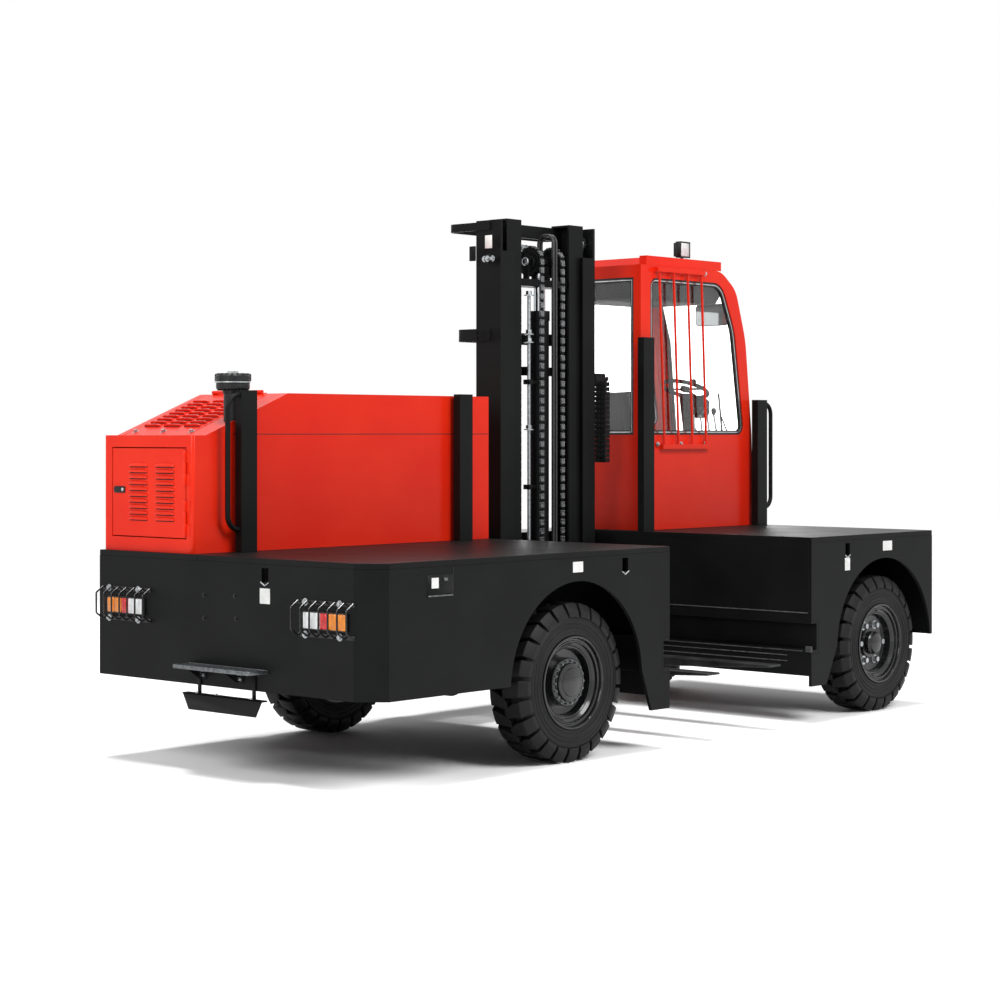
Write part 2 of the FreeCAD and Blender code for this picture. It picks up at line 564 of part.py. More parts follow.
# hinges of the rear door on its load-side edge, and of the sloped lid on its top edge
door_pin = (f"{DOOR_X[0]} + door_gap / 2", f"{HOOD_REAR} + {HINGE_OUT}")
door_halves = [hinge(f"door_hinge_{number}", "z", door_pin, start,
                     ((f"{door_pin[0]} - hinge_leaf", door_pin[0]), (HOOD_REAR, f"{HOOD_REAR} + leaf_plate")),
                     ((door_pin[0], f"{door_pin[0]} + hinge_leaf"), (HOOD_REAR, f"{HOOD_REAR} + leaf_plate")))
               for number, start in enumerate(("door_low + hinge_margin / 3",
                                               "door_high - hinge_margin / 3 - 3 * hinge_length"))]
lid_pin = (SLOPE_HIGH[0], f"hood_top + {HINGE_OUT}")
LEAF_Z = ("hood_top", "hood_top + leaf_plate")
lid_halves = [hinge(f"lid_hinge_{number}", "x", lid_pin, start,
                    ((f"{lid_pin[0]} - hinge_leaf", lid_pin[0]), LEAF_Z),
                    ((lid_pin[0], f"{lid_pin[0]} + hinge_barrel"), ("hood_top - hinge_barrel", LEAF_Z[1])))
              for number, start in enumerate((f"{LID_X[0]} + hinge_margin",
                                              f"{LID_X[1]} - hinge_margin - 3 * hinge_length"))]

keep("hood_shell", fuse(
    "hood_shell", cut("hood_panels", hood_solid, hood_room, door_hole, lid_hole, intake_hole),
    *[piece for fixed, moving in door_halves + lid_halves for piece in fixed]))

access_sheet = block("access_sheet", (f"{DOOR_X[0]} + door_gap", f"{DOOR_X[1]} - door_gap"),
                     (f"{HOOD_REAR} - hood_wall", HOOD_REAR), ("door_low + door_gap", "door_high - door_gap"))
keep("access_door", fuse("access_door", access_sheet, *[moving for fixed, moving in door_halves]))

lid_sheet = plate("lid_sheet", "x", (f"{LID_X[0]} + door_gap", f"{LID_X[1]} - door_gap"), [
    SLOPE_LOW, SLOPE_HIGH, (SLOPE_HIGH[0], "hood_top - hood_wall"), (SLOPE_LOW[0], "hood_seam - hood_wall")])
keep("louvre_lid", fuse("louvre_lid", lid_sheet, *[moving for fixed, moving in lid_halves]))

BOWL_LOW = "(post_top + intake_lift)"
keep("air_intake", fuse(
    "air_intake",
    bar("intake_pipe", "z", INTAKE, "intake_neck", ("hood_seam", BOWL_LOW)),
    bar("intake_bowl", "z", INTAKE, "intake_bowl", (BOWL_LOW, f"{BOWL_LOW} + intake_bowl_height")),
    bar("intake_band", "z", INTAKE, "intake_band",
        about(f"{BOWL_LOW} + intake_bowl_height / 2", "intake_band_height / 2"))))

# ---------------------------------------------------------------- posts, steps, lamps
POSTS = {
    "first": (f"{REAR} - first_post - post_width", "post_top"),
    "second": (f"{WELL_REAR} + second_post", "post_top"),
    "third": (f"{WELL_FRONT} - post_width", "tall_post_top"),
    "last": (f"{FRONT} + last_post", "post_top"),
}
uprights = {name: block(f"{name}_post", POST_X, (near, f"{near} + post_width"), ("deck_height", top))
            for name, (near, top) in POSTS.items()}
POST_MIDDLE = f"{LEFT} - post_place - post_thick / 2"


def handle(name, post, outward):
    """A bent grab handle on the outer face of a post."""
    near = POSTS[name][0]
    face = f"{near} + post_width" if outward > 0 else near
    stand = f"{face} + {outward} * handle_stand"
    facing = AXES["y"] * outward
    low, high = "deck_height + handle_foot", "post_top - handle_top"
    return fuse(
        f"{name}_post_with_handle", post,
        bar(f"{name}_handle", "z", (POST_MIDDLE, stand), "handle_radius",
            (f"{low} + handle_stand", f"{high} - handle_stand")),
        elbow(f"{name}_handle_top", (POST_MIDDLE, face, f"{high} - handle_stand"), facing, AXES["z"],
              "handle_stand", "handle_radius"),
        elbow(f"{name}_handle_foot", (POST_MIDDLE, face, f"{low} + handle_stand"), AXES["z"] * -1, facing,
              "handle_stand", "handle_radius"))


uprights["first"] = handle("first", uprights["first"], 1)
uprights["last"] = handle("last", uprights["last"], -1)
keep("posts", group("posts", *uprights.values()))

STEP_X = f"({LEFT} - step_inset)"
STEP_END = f"({STEP_X} - step_width)"
STEP_FRONT = f"{REAR} + step_reach"
upper = plate("upper_tread", "z", ("upper_step", "upper_step + upper_thick"), [
    (STEP_END, REAR), (STEP_X, REAR), (f"{STEP_X} - upper_taper", f"{REAR} + upper_depth"),
    (f"{STEP_END} + upper_taper", f"{REAR} + upper_depth")])
lower = block("lower_tread", (STEP_END, STEP_X), (REAR, STEP_FRONT),
              ("lower_step - step_plate", "lower_step"))
flange = plate("lower_flange", "y", (f"{STEP_FRONT} - step_plate", STEP_FRONT), [
    (STEP_END, "lower_step"), (f"{STEP_END} + lower_taper", "lower_step - lower_flange"),
    (f"{STEP_X} - lower_taper", "lower_step - lower_flange"), (STEP_X, "lower_step")])
straps = [block(name, (low, f"{low} + strap_width"), (REAR, f"{REAR} + step_plate"),
                ("lower_step", "upper_step"))
          for name, low in (("inner_strap", f"{STEP_END} + strap_inset"),
                            ("outer_strap", f"{STEP_X} - strap_inset - strap_width"))]
keep("rear_steps", fuse("rear_steps", upper, lower, flange, *straps))

lamps = []
for side_name, first in (("left", "left_lamps"), ("right", "right_lamps")):
    for number in range(5):
        outer = f"{LEFT} - {first} - {number} * lamp_pitch"
        lamps.append(block(f"tail_lamp_{side_name}_{number}", (f"{outer} - lamp_width", outer),
                           (REAR, f"{REAR} + lamp_depth"), ("lamp_low", "lamp_low + lamp_height")))
for side_name, side in SIDES.items():
    lamps.append(bar(f"head_lamp_{side_name}", "y",
                     (f"{side} * ({LEFT} - head_lamp_inset)", "lamp_low + lamp_height"),
                     "head_lamp", (f"{FRONT} - lamp_depth", FRONT)))
keep("lamps", group("lamps", *lamps))

guards = []
for side_name, first in (("left", "left_lamps"), ("right", "right_lamps")):
    start = f"{LEFT} - {first} + guard_margin"
    pitch = "((5 * lamp_pitch + 2 * guard_margin) / 5)"
    top = "guard_low + guard_height"
    stand = f"{REAR} + guard_stand"
    wires = [block(f"guard_rail_{side_name}_{level}", (f"{start} - 5 * {pitch} - guard_wire",
                                                       f"{start} + guard_wire"),
                   about(stand, "guard_wire"), about(height, "guard_wire"))
             for level, height in (("low", "guard_low"), ("high", top))]
    for number in range(6):
        across = about(f"{start} - {number} * {pitch}", "guard_wire")
        wires.append(block(f"guard_wire_{side_name}_{number}", across, about(stand, "guard_wire"),
                           ("guard_low", top)))
        wires += [block(f"guard_foot_{side_name}_{number}_{level}", across, (REAR, stand),
                        about(height, "guard_wire"))
                  for level, height in (("low", "guard_low"), ("high", top))]
    guards.append(fuse(f"guard_{side_name}", *wires))
keep("lamp_guards", group("lamp_guards", *guards))

# ---------------------------------------------------------------- cab
TEMPLE_Z, BROW_Z = "(cab_top - temple_drop)", "(cab_top - brow_drop)"
WINDOW_TOP, BEND_Z = "(cab_top - window_drop)", "(cab_top - bend_drop)"
WINDOW_REAR = f"({CAB_REAR} - window_margin)"
FACE = [("cab_front_inset", "deck_height"), ("waist_inset", "window_low"), ("temple_inset", TEMPLE_Z),
        ("brow_inset", BROW_Z)]
cab_solid = plate("cab_solid", "x", (CAB_SIDE, LEFT), [
    (CAB_REAR, "deck_height"), *[(ahead(inset), level) for inset, level in FACE],
    (ahead("roof_inset"), "cab_top"), (CAB_REAR, "cab_top")])
soften(cab_solid, at_corners(cab_solid, 3), "temple_round")
soften(cab_solid, at_corners(cab_solid, 4, 5), "brow_round")
cab_room = plate("cab_room", "x", (f"{CAB_SIDE} + cab_wall", f"{LEFT} - cab_wall"), [
    (f"{CAB_REAR} - cab_wall", "deck_height + cab_wall"),
    (ahead("cab_front_inset + cab_wall"), "deck_height + cab_wall"),
    *[(ahead(f"{inset} + cab_wall"), level) for inset, level in FACE[1:]],
    (ahead("roof_inset"), "cab_top - cab_wall"), (f"{CAB_REAR} - cab_wall", "cab_top - cab_wall")])
soften(cab_room, at_corners(cab_room, 4, 5), "brow_round - 2 * cab_wall")


def side_opening(name, span, gap, sill):
    """The outline of the side window, or of the doorway when it starts at the sill."""
    loop = [(f"{WINDOW_REAR} - {gap}", f"{sill} + {gap}"), (ahead(f"foot_inset + {gap}"), f"{sill} + {gap}"),
            (ahead(f"bend_inset + {gap}"), BEND_Z), (ahead(f"head_inset + {gap}"), f"{WINDOW_TOP} - {gap}"),
            (f"{WINDOW_REAR} - {gap}", f"{WINDOW_TOP} - {gap}")]
    if sill != "window_low":
        loop.insert(2, (ahead(f"foot_inset + {gap}"), "window_low"))
    sheet = plate(name, "x", span, loop)
    last = len(loop) - 1
    soften(sheet, at_corners(sheet, 0, 1, last), "window_round")
    soften(sheet, at_corners(sheet, last - 1), "head_round")
    return soften(sheet, at_corners(sheet, last - 2), "bend_round")


NEAR_SIDE = (f"{CAB_SIDE} - cab_wall", f"{CAB_SIDE} + 2 * cab_wall")
FAR_SIDE = (f"{LEFT} - 2 * cab_wall", f"{LEFT} + cab_wall")
ACROSS = (f"{CAB_SIDE} + pillar", f"{LEFT} - pillar")
side_hole = side_opening("side_window_hole", NEAR_SIDE, "0", "window_low")
door_way = side_opening("door_way", FAR_SIDE, "0", "sill")
rear_hole = block("rear_window_hole", ACROSS, (f"{CAB_REAR} - 2 * cab_wall", f"{CAB_REAR} + cab_wall"),
                  ("window_low", WINDOW_TOP))
screen_hole = block("screen_hole", ACROSS, (FRONT, ahead("roof_inset")), ("screen_low", BROW_Z))
door_hinge_y = f"({WINDOW_REAR} - door_gap / 2)"
cab_pin = (f"{LEFT} + {HINGE_OUT}", door_hinge_y)
SIDE_LEAF = (LEFT, f"{LEFT} + leaf_plate")
cab_halves = [hinge(f"cab_hinge_{number}", "z", cab_pin, start,
                    (SIDE_LEAF, (door_hinge_y, f"{door_hinge_y} + hinge_leaf")),
                    (SIDE_LEAF, (f"{door_hinge_y} - hinge_leaf", door_hinge_y)))
              for number, start in enumerate(("sill + hinge_margin + window_round",
                                              f"{WINDOW_TOP} - hinge_margin - window_round - 3 * hinge_length"))]
keep("cab_shell", fuse(
    "cab_shell", cut("cab_panels", cab_solid, cab_room, side_hole, door_way, rear_hole, screen_hole),
    *[piece for fixed, moving in cab_halves for piece in fixed]))


def screen_line(inset):
    """The windscreen's line down the front of the cab, set in from its face."""
    return [(ahead(f"screen_foot + {inset}"), "screen_low"), (ahead(f"waist_inset + {inset}"), "window_low"),
            (ahead(f"temple_inset + {inset}"), TEMPLE_Z), (ahead(f"brow_inset + {inset}"), BROW_Z)]


side_pane = side_opening("side_pane", (f"{CAB_SIDE} + glass_inset", f"{CAB_SIDE} + glass_inset + glass"), "0",
                         "window_low")
rear_pane = block("rear_pane", ACROSS, (f"{CAB_REAR} - glass_inset - glass", f"{CAB_REAR} - glass_inset"),
                  ("window_low", WINDOW_TOP))
screen = plate("windscreen", "x", ACROSS,
               screen_line("glass_inset") + screen_line("glass_inset + glass")[::-1])
keep("cab_glazing", group("cab_glazing", side_pane, rear_pane, screen))

door_sheet = side_opening("cab_door_sheet", (f"{LEFT} - cab_wall", LEFT), "door_gap", "sill")
door_window = side_opening("door_window_hole", FAR_SIDE, "door_frame", "window_low")
keep("cab_door", fuse("cab_door", cut("cab_door_frame", door_sheet, door_window),
                      *[moving for fixed, moving in cab_halves]))
keep("door_glass", side_opening("door_glass", (f"{LEFT} - glass_inset - glass", f"{LEFT} - glass_inset"),
                                "door_frame", "window_low"))

SLATS = 9
SLATS_REAR, SLATS_FRONT = f"({CAB_REAR} - 2 * pillar)", ahead("roof_inset + pillar")
slats = []
for number in range(SLATS):
    start = f"({SLATS_REAR} + {number} * ({SLATS_FRONT} - {SLATS_REAR}) / {SLATS})"
    slats.append(plate(f"slat_{number}", "x", ACROSS, [
        (start, "cab_top"), (f"{start} - slat_plate", "cab_top"),
        (f"{start} - slat_plate - slat_rise", "cab_top + slat_rise"),
        (f"{start} - slat_rise", "cab_top + slat_rise")]))
cheeks = [block(f"slat_cheek_{number}", span, (ahead("roof_inset"), f"{CAB_REAR} - pillar"),
                ("cab_top", "cab_top + slat_rise"))
          for number, span in enumerate(((CAB_SIDE, ACROSS[0]), (ACROSS[1], LEFT)))]
keep("roof_slats", fuse("roof_slats", *slats, *cheeks))

# four rods before the load-side window, between two bars on the cab's side
ROD_X = f"{CAB_SIDE} - guard_rod_stand"
rods = []
for number in range(4):
    top_y = f"({CAB_REAR} - guard_rod_first - {number} * guard_rod_pitch)"
    rods.append(plate(f"window_rod_{number}", "x", about(ROD_X, "guard_rod"), [
        (f"{top_y} - guard_rod_lean - guard_rod", "guard_bar_low"),
        (f"{top_y} - guard_rod_lean + guard_rod", "guard_bar_low"),
        (f"{top_y} + guard_rod", "guard_bar_high"), (f"{top_y} - guard_rod", "guard_bar_high")]))
rods += [block(f"window_bar_{name}", (f"{ROD_X} - guard_rod - guard_bar_plate", CAB_SIDE),
               (f"{CAB_REAR} - guard_rod_first - 3 * guard_rod_pitch - {lean} - guard_bar_tail",
                f"{CAB_REAR} - guard_rod_first - {lean} + guard_bar_tail"), about(level, "guard_bar / 2"))
         for name, lean, level in (("low", "guard_rod_lean", "guard_bar_low"),
                                   ("high", "0", "guard_bar_high"))]
keep("window_guard", fuse("window_guard", *rods))

LAMP_X, LAMP_Y = f"({LEFT} - work_lamp_side)", ahead("work_lamp_inset")
LAMP_Z = "(cab_top + slat_rise + work_lamp_foot)"
keep("work_lamp", fuse(
    "work_lamp",
    bar("work_lamp_stem", "z", (LAMP_X, LAMP_Y), "work_lamp_stem", ("cab_top + slat_rise", LAMP_Z)),
    block("work_lamp_box", about(LAMP_X, "work_lamp_depth / 2"), about(LAMP_Y, "work_lamp_face / 2"),
          (LAMP_Z, f"{LAMP_Z} + work_lamp_face"))))
MIRROR_X = (f"{LEFT} - mirror_side - mirror_width", f"{LEFT} - mirror_side")
keep("mirror", fuse(
    "mirror",
    block("mirror_face", MIRROR_X, (ahead("mirror_inset"), ahead("mirror_inset + mirror_plate")),
          ("mirror_low", "mirror_low + mirror_height")),
    bar("mirror_stem", "z", (f"{LEFT} - mirror_side - mirror_width / 2",
                             ahead("mirror_inset + mirror_plate - mirror_stem")),
        "mirror_stem", ("mirror_low + mirror_height / 2", BROW_Z))))

FLOOR = "(deck_height + cab_wall)"
COLUMN_TOP = "(hand_wheel_height - column_drop)"
SEAT_X = (f"{LEFT} - seat_side - seat_width", f"{LEFT} - seat_side")
keep("seat", fuse(
    "seat",
    block("seat_base", (f"{LEFT} - seat_base_side - seat_base_width", f"{LEFT} - seat_base_side"),
          (ahead("seat_base_inset"), ahead("seat_base_inset + seat_base_depth")), (FLOOR, "seat_height")),
    block("seat_cushion", SEAT_X, (ahead("seat_inset"), ahead("seat_inset + seat_depth")),
          ("seat_height", "seat_height + cushion")),
    block("seat_back", SEAT_X, (ahead("back_inset"), ahead("back_inset + back_thick")),
          ("seat_height", "seat_top"))))
column = plate("column", "x", (f"{LEFT} - column_side - column_width", f"{LEFT} - column_side"), [
    (ahead("column_foot"), FLOOR), (ahead("column_foot + column_depth"), FLOOR),
    (ahead("column_head + column_neck"), COLUMN_TOP), (ahead("column_head"), COLUMN_TOP)])
side_box = block("side_box", (f"{CAB_SIDE} + cab_wall", f"{CAB_SIDE} + cab_wall + side_box_width"),
                 (ahead("side_box_inset"), ahead("side_box_inset + side_box_length")),
                 (FLOOR, "side_box_top"))
keep("console", group("controls", column, side_box))

WHEEL_TILT = 20.5
ring = doc.addObject("Part::Torus", "hand_wheel_ring")
bind(ring, "Radius1", "hand_wheel")
bind(ring, "Radius2", "hand_wheel_rim")
hub = bar("hand_wheel_hub", "z", ("0", "0"), "hand_wheel_boss", about("0", "hand_wheel_rim"))
spokes = [bar("hand_wheel_spoke", "x", ("0", "0"), "hand_wheel_rim / 2", about("0", "hand_wheel")),
          bar("hand_wheel_arm", "y", ("0", "0"), "hand_wheel_rim / 2", ("-hand_wheel", "0"))]
hand_wheel = fuse("hand_wheel", ring, hub, *spokes)
hand_wheel.Placement.Rotation = FreeCAD.Rotation(AXES["x"], WHEEL_TILT)
keep("steering_wheel", move(hand_wheel, x=f"{LEFT} - hand_wheel_side", y=ahead("hand_wheel_inset"),
                            z="hand_wheel_height"))


# ---------------------------------------------------------------- reach carriage
def beside(side, low, high):
    """A span along Y on one side of the mast's middle, given as distances from it."""
    return ((f"{MAST_Y} + {low}", f"{MAST_Y} + {high}") if side > 0
            else (f"{MAST_Y} - ({high})", f"{MAST_Y} - ({low})"))


PIVOT = (f"{MAST_X} + mast_depth / 2", "mast_bottom + pivot_height")
CARRIAGE_X = (MAST_X, f"{MAST_BACK} + carriage_tail")
BASE_TOP = "(wall_bottom + wall_plate)"
TRACK_ROLLER = "(track_height / 2 - track_plate - running_gap)"
CHEEK = ("+".join((HALF, "cheek_gap")), "+".join((HALF, "cheek_gap", "cheek_plate")))
frame_pieces = [block("reach_base", CARRIAGE_X, about(MAST_Y, f"({WELL_HALF} - end_gap)"),
                      ("wall_bottom", BASE_TOP))]
for name, side in ENDS.items():
    cheek = beside(side, *CHEEK)
    frame_pieces += [
        block(f"reach_cheek_{name}", CARRIAGE_X, cheek, ("wall_bottom", "cheek_top")),
        block(f"reach_tower_{name}", (f"{CARRIAGE_X[1]} - cheek_plate", CARRIAGE_X[1]), cheek,
              ("cheek_top", "tower_top")),
        block(f"reach_end_{name}", CARRIAGE_X, beside(side, f"{WELL_HALF} - end_gap - end_plate",
                                                      f"{WELL_HALF} - end_gap"),
              ("wall_bottom", TRACK_TOP)),
    ]
    for number, place in enumerate((MAST_X, MAST_BACK)):
        centre = (place, "track_bottom + track_height / 2")
        frame_pieces += [
            bar(f"track_shaft_{name}_{number}", "y", centre, "roller_shaft",
                beside(side, f"{WELL_HALF} - end_gap - end_plate", f"{WELL_HALF} + running_gap")),
            bar(f"track_roller_{name}_{number}", "y", centre, TRACK_ROLLER,
                beside(side, f"{WELL_HALF}", f"{WELL_HALF} + track_depth - track_plate - running_gap"))]

# the tilt cylinders lean down from the towers to the uprights
LEAN_X, LEAN_Z = -0.992, -0.129
LEAN = FreeCAD.Rotation(AXES["z"], FreeCAD.Vector(LEAN_X, 0, LEAN_Z))
TILT_SIDE = f"({HALF} + tilt_side)"


def along_tilt(distance):
    """The place along X and Z at a distance down a tilt cylinder's line."""
    return f"{MAST_BACK} + tilt_start + {LEAN_X} * ({distance})", f"tilt_height + {LEAN_Z} * ({distance})"


def tilt_tube(name, side, radius, start, length):
    """A round piece of a tilt cylinder; start and length run along its leaning line."""
    tube = doc.addObject("Part::Cylinder", name)
    tube.Placement.Rotation = LEAN
    bind(tube, "Radius", radius)
    bind(tube, "Height", length)
    x, z = along_tilt(start)
    return move(tube, x=x, y=f"{MAST_Y} + {side} * {TILT_SIDE}", z=z)


sockets = [tilt_tube(f"tilt_socket_{name}", side, "tilt_barrel", "0", "tilt_seat")
           for name, side in ENDS.items()]
pivot_holes = bar("pivot_hole", "y", PIVOT, "pivot_radius + running_gap",
                  about(MAST_Y, f"({CHEEK[1]} + cheek_gap)"))
keep("reach_carriage", cut("reach_carriage", fuse("reach_frame", *frame_pieces), pivot_holes, *sockets))

barrels = [tilt_tube(f"tilt_barrel_{name}", side, "tilt_barrel", "0", "tilt_barrel_length")
           for name, side in ENDS.items()]
bores = [tilt_tube(f"tilt_bore_{name}", side, "tilt_rod + bore_gap", "tilt_rod", "tilt_barrel_length")
         for name, side in ENDS.items()]
keep("tilt_barrels", cut("tilt_barrels", group("tilt_barrel_pair", *barrels), *bores))

EYE = along_tilt("tilt_reach")
rods = []
for name, side in ENDS.items():
    eye_span = about(f"{MAST_Y} + {side} * {TILT_SIDE}", "eye_width / 2")
    solid = fuse(f"tilt_rod_solid_{name}",
                 tilt_tube(f"tilt_rod_{name}", side, "tilt_rod", "tilt_rod_start",
                           "tilt_reach - tilt_rod_start"),
                 bar(f"rod_eye_{name}", "y", EYE, "eye_radius", eye_span))
    rods.append(cut(f"tilt_rod_end_{name}", solid,
                    bar(f"rod_eye_hole_{name}", "y", EYE, "eye_hole", eye_span)))
keep("tilt_rods", group("tilt_rods", *rods))

# ---------------------------------------------------------------- mast
NOTCH_LOW = "(mast_top - notch_height)"
INNER_OUT = f"({HALF} - inner_place)"
OUTER_IN = f"{HALF} - outer_width"


def bow(name, depth, low, high):
    """A flat plate bent round the backs of the two outer uprights."""
    front, back = f"{MAST_BACK} - bow_lap", f"{MAST_BACK} + {depth}"
    near, far = about(MAST_Y, f"({HALF} + bow_plate)")
    near_in, far_in = about(MAST_Y, HALF)
    body = plate(name, "z", (low, high), [
        (front, near), (back, near), (back, far), (front, far),
        (front, far_in), (f"{back} - bow_plate", far_in), (f"{back} - bow_plate", near_in), (front, near_in)])
    soften(body, at_corners(body, 1, 2), "bow_round")
    return soften(body, at_corners(body, 5, 6), "bow_round - bow_plate")


outer = [bow("bow_top", "top_bow", "mast_top - top_bow_drop - top_bow_height", "mast_top - top_bow_drop"),
         bow("bow_middle", "middle_bow", "middle_bow_level", "middle_bow_level + middle_bow_height")]
for name, side in ENDS.items():
    flange = beside(side, OUTER_IN, f"{HALF} - outer_web")
    outer += [
        block(f"outer_web_{name}", (MAST_X, MAST_BACK), beside(side, f"{HALF} - outer_web", HALF),
              ("mast_bottom", "mast_top")),
        block(f"outer_front_{name}", (MAST_X, f"{MAST_X} + outer_flange"), flange,
              ("mast_bottom", NOTCH_LOW)),
        block(f"outer_back_{name}", (f"{MAST_BACK} - outer_flange", MAST_BACK), flange,
              ("mast_bottom", "mast_top")),
        bar(f"pivot_pin_{name}", "y", PIVOT, "pivot_radius", beside(side, HALF, CHEEK[1])),
        bar(f"tilt_pin_{name}", "y", EYE, "tilt_rod", beside(side, HALF, f"{TILT_SIDE} + eye_width")),
        bar(f"guide_roller_{name}", "y", (PIVOT[0], "mast_top - guide_drop"),
            "mast_depth / 2 - outer_flange - mast_gap"
            " - inner_flange - running_gap", beside(side, f"{INNER_OUT} + running_gap",
                                                    f"{INNER_OUT} + guide_roller")),
        bar(f"guide_shaft_{name}", "y", (PIVOT[0], "mast_top - guide_drop"), "roller_shaft",
            beside(side, f"{INNER_OUT} + guide_roller", f"{HALF} - outer_web"))]
for name, level, height in (("foot", "mast_bottom", "tie_height"), ("clamp", "clamp_level", "clamp_height")):
    outer.append(block(f"outer_tie_{name}", (f"{MAST_BACK} - tie_plate", MAST_BACK),
                       about(MAST_Y, f"({OUTER_IN})"),
                       (level, f"{level} + {height}")))
keep("outer_mast", fuse("outer_mast", *outer))

CYLINDER = (f"{MAST_X} + cylinder_place", MAST_Y)
FOOT_Z = "(mast_bottom + tie_height)"
barrel = fuse(
    "barrel_body",
    bar("barrel_tube", "z", CYLINDER, "barrel_radius", (FOOT_Z, "gland_top")),
    bar("barrel_gland", "z", CYLINDER, "gland_radius", ("gland_top - gland_height", "gland_top")),
    block("barrel_clamp", (CYLINDER[0], f"{MAST_BACK} - tie_plate"), about(MAST_Y, "tie_height"),
          ("clamp_level", "clamp_level + clamp_height")),
    block("barrel_foot", (f"{CYLINDER[0]} - barrel_radius", MAST_BACK), about(MAST_Y, "barrel_radius"),
          (FOOT_Z, f"{FOOT_Z} + tie_plate")))
barrel_bore = bar("barrel_bore", "z", CYLINDER, "rod_radius + bore_gap",
                  (f"{FOOT_Z} + tie_height", "gland_top + tie_height"))
keep("lift_barrel", cut("lift_barrel", barrel, barrel_bore))
keep("lift_rod", bar("lift_rod", "z", CYLINDER, "rod_radius", (f"{FOOT_Z} + 2 * tie_height", "rod_top")))

# inner uprights: a web with flanges to both sides, a crosshead on the rod, and the chain sheaves
INNER_X = (f"{MAST_X} + outer_flange + mast_gap", f"{MAST_BACK} - outer_flange - mast_gap")
INNER_LOW, INNER_TOP = "(mast_bottom + inner_lift)", "(mast_top + inner_rise)"
INNER_IN = f"({INNER_OUT} - inner_width)"
SHEAVE = (f"{MAST_X} + sheave_place", "sheave_height")
CHAIN_REACH = "(sheave_radius + chain_thick)"
inner = []
for name, side in ENDS.items():
    across = beside(side, INNER_IN, f"{INNER_OUT} + inner_wing")
    inner += [
        block(f"inner_web_{name}", INNER_X, beside(side, f"{INNER_OUT} - inner_web", INNER_OUT),
              (INNER_LOW, "mast_top")),
        block(f"inner_front_{name}", (INNER_X[0], f"{INNER_X[0]} + inner_flange"), across,
              (INNER_LOW, "mast_top")),
        block(f"inner_back_{name}", (f"{INNER_X[1]} - inner_flange", INNER_X[1]), across,
              (INNER_LOW, "mast_top")),
        block(f"inner_cap_{name}", INNER_X, across, ("mast_top", "mast_top + inner_cap")),
        bar(f"foot_roller_{name}", "y", (PIVOT[0], f"{INNER_LOW} + foot_roller_rise"),
            "mast_depth / 2 - outer_flange - running_gap",
            beside(side, f"{INNER_OUT} + inner_wing + running_gap", f"{HALF} - outer_web - running_gap")),
        bar(f"foot_shaft_{name}", "y", (PIVOT[0], f"{INNER_LOW} + foot_roller_rise"), "roller_shaft",
            beside(side, f"{INNER_OUT} - inner_web", f"{HALF} - outer_web - running_gap"))]
BETWEEN = about(MAST_Y, INNER_IN)
chain_ways = [block(f"chain_way_{name}", (f"{SHEAVE[0]} + sheave_radius - mast_gap", INNER_X[1]),
                    beside(side, "sheave_side - mast_gap", "sheave_side + sheave_width + mast_gap"),
                    ("rod_top - crosshead", "rod_top + 2 * crosshead")) for name, side in ENDS.items()]
inner += [
    block("inner_foot_tie", (f"{INNER_X[1]} - inner_flange", INNER_X[1]), BETWEEN,
          (f"{INNER_LOW} + inner_lift", f"{INNER_LOW} + inner_lift + 2 * tie_height")),
    block("inner_top_tie", (f"{INNER_X[1]} - inner_flange", INNER_X[1]), BETWEEN,
          ("mast_top - 2 * tie_height", "mast_top")),
    cut("crosshead", block("crosshead_bar", (CYLINDER[0], INNER_X[1]), BETWEEN,
                           ("rod_top", "rod_top + crosshead")),
        *chain_ways),
    block("crosshead_nose", (f"{SHEAVE[0]} - sheave_lug_half", CYLINDER[0]), BETWEEN,
          ("rod_top", "rod_top + crosshead")),
    bar("sheave_shaft", "y", SHEAVE, "sheave_pin", about(MAST_Y,
                                                         "sheave_side + sheave_width + 2 * sheave_lug"))]
for name, side in ENDS.items():
    for number, low in enumerate(("sheave_side - 2 * sheave_lug", "sheave_side + sheave_width + sheave_lug")):
        inner.append(block(f"sheave_lug_{name}_{number}", about(SHEAVE[0], "sheave_lug_half"),
                           beside(side, low, f"{low} + sheave_lug"),
                           ("rod_top + crosshead", "sheave_height + sheave_lug_half")))
keep("inner_mast", fuse("inner_mast", *inner))

chains = []
for name, side in ENDS.items():
    width = beside(side, "sheave_side", "sheave_side + sheave_width")
    strands = [block(f"strand_{name}_{place}", (f"{SHEAVE[0]} + {low}", f"{SHEAVE[0]} + {high}"), width,
                     ("chain_foot", "sheave_height"))
               for place, low, high in (("front", f"(-{CHAIN_REACH})", "(-sheave_radius)"),
                                        ("back", "sheave_radius", CHAIN_REACH))]
    over = bar(f"chain_over_{name}", "y", SHEAVE, CHAIN_REACH, width)
    hole = bar(f"sheave_hole_{name}", "y", SHEAVE, "sheave_pin + running_gap", width)
    chains.append(cut(f"chain_{name}", fuse(f"chain_run_{name}", over, *strands), hole))
keep("lift_chains", group("lift_chains", *chains))

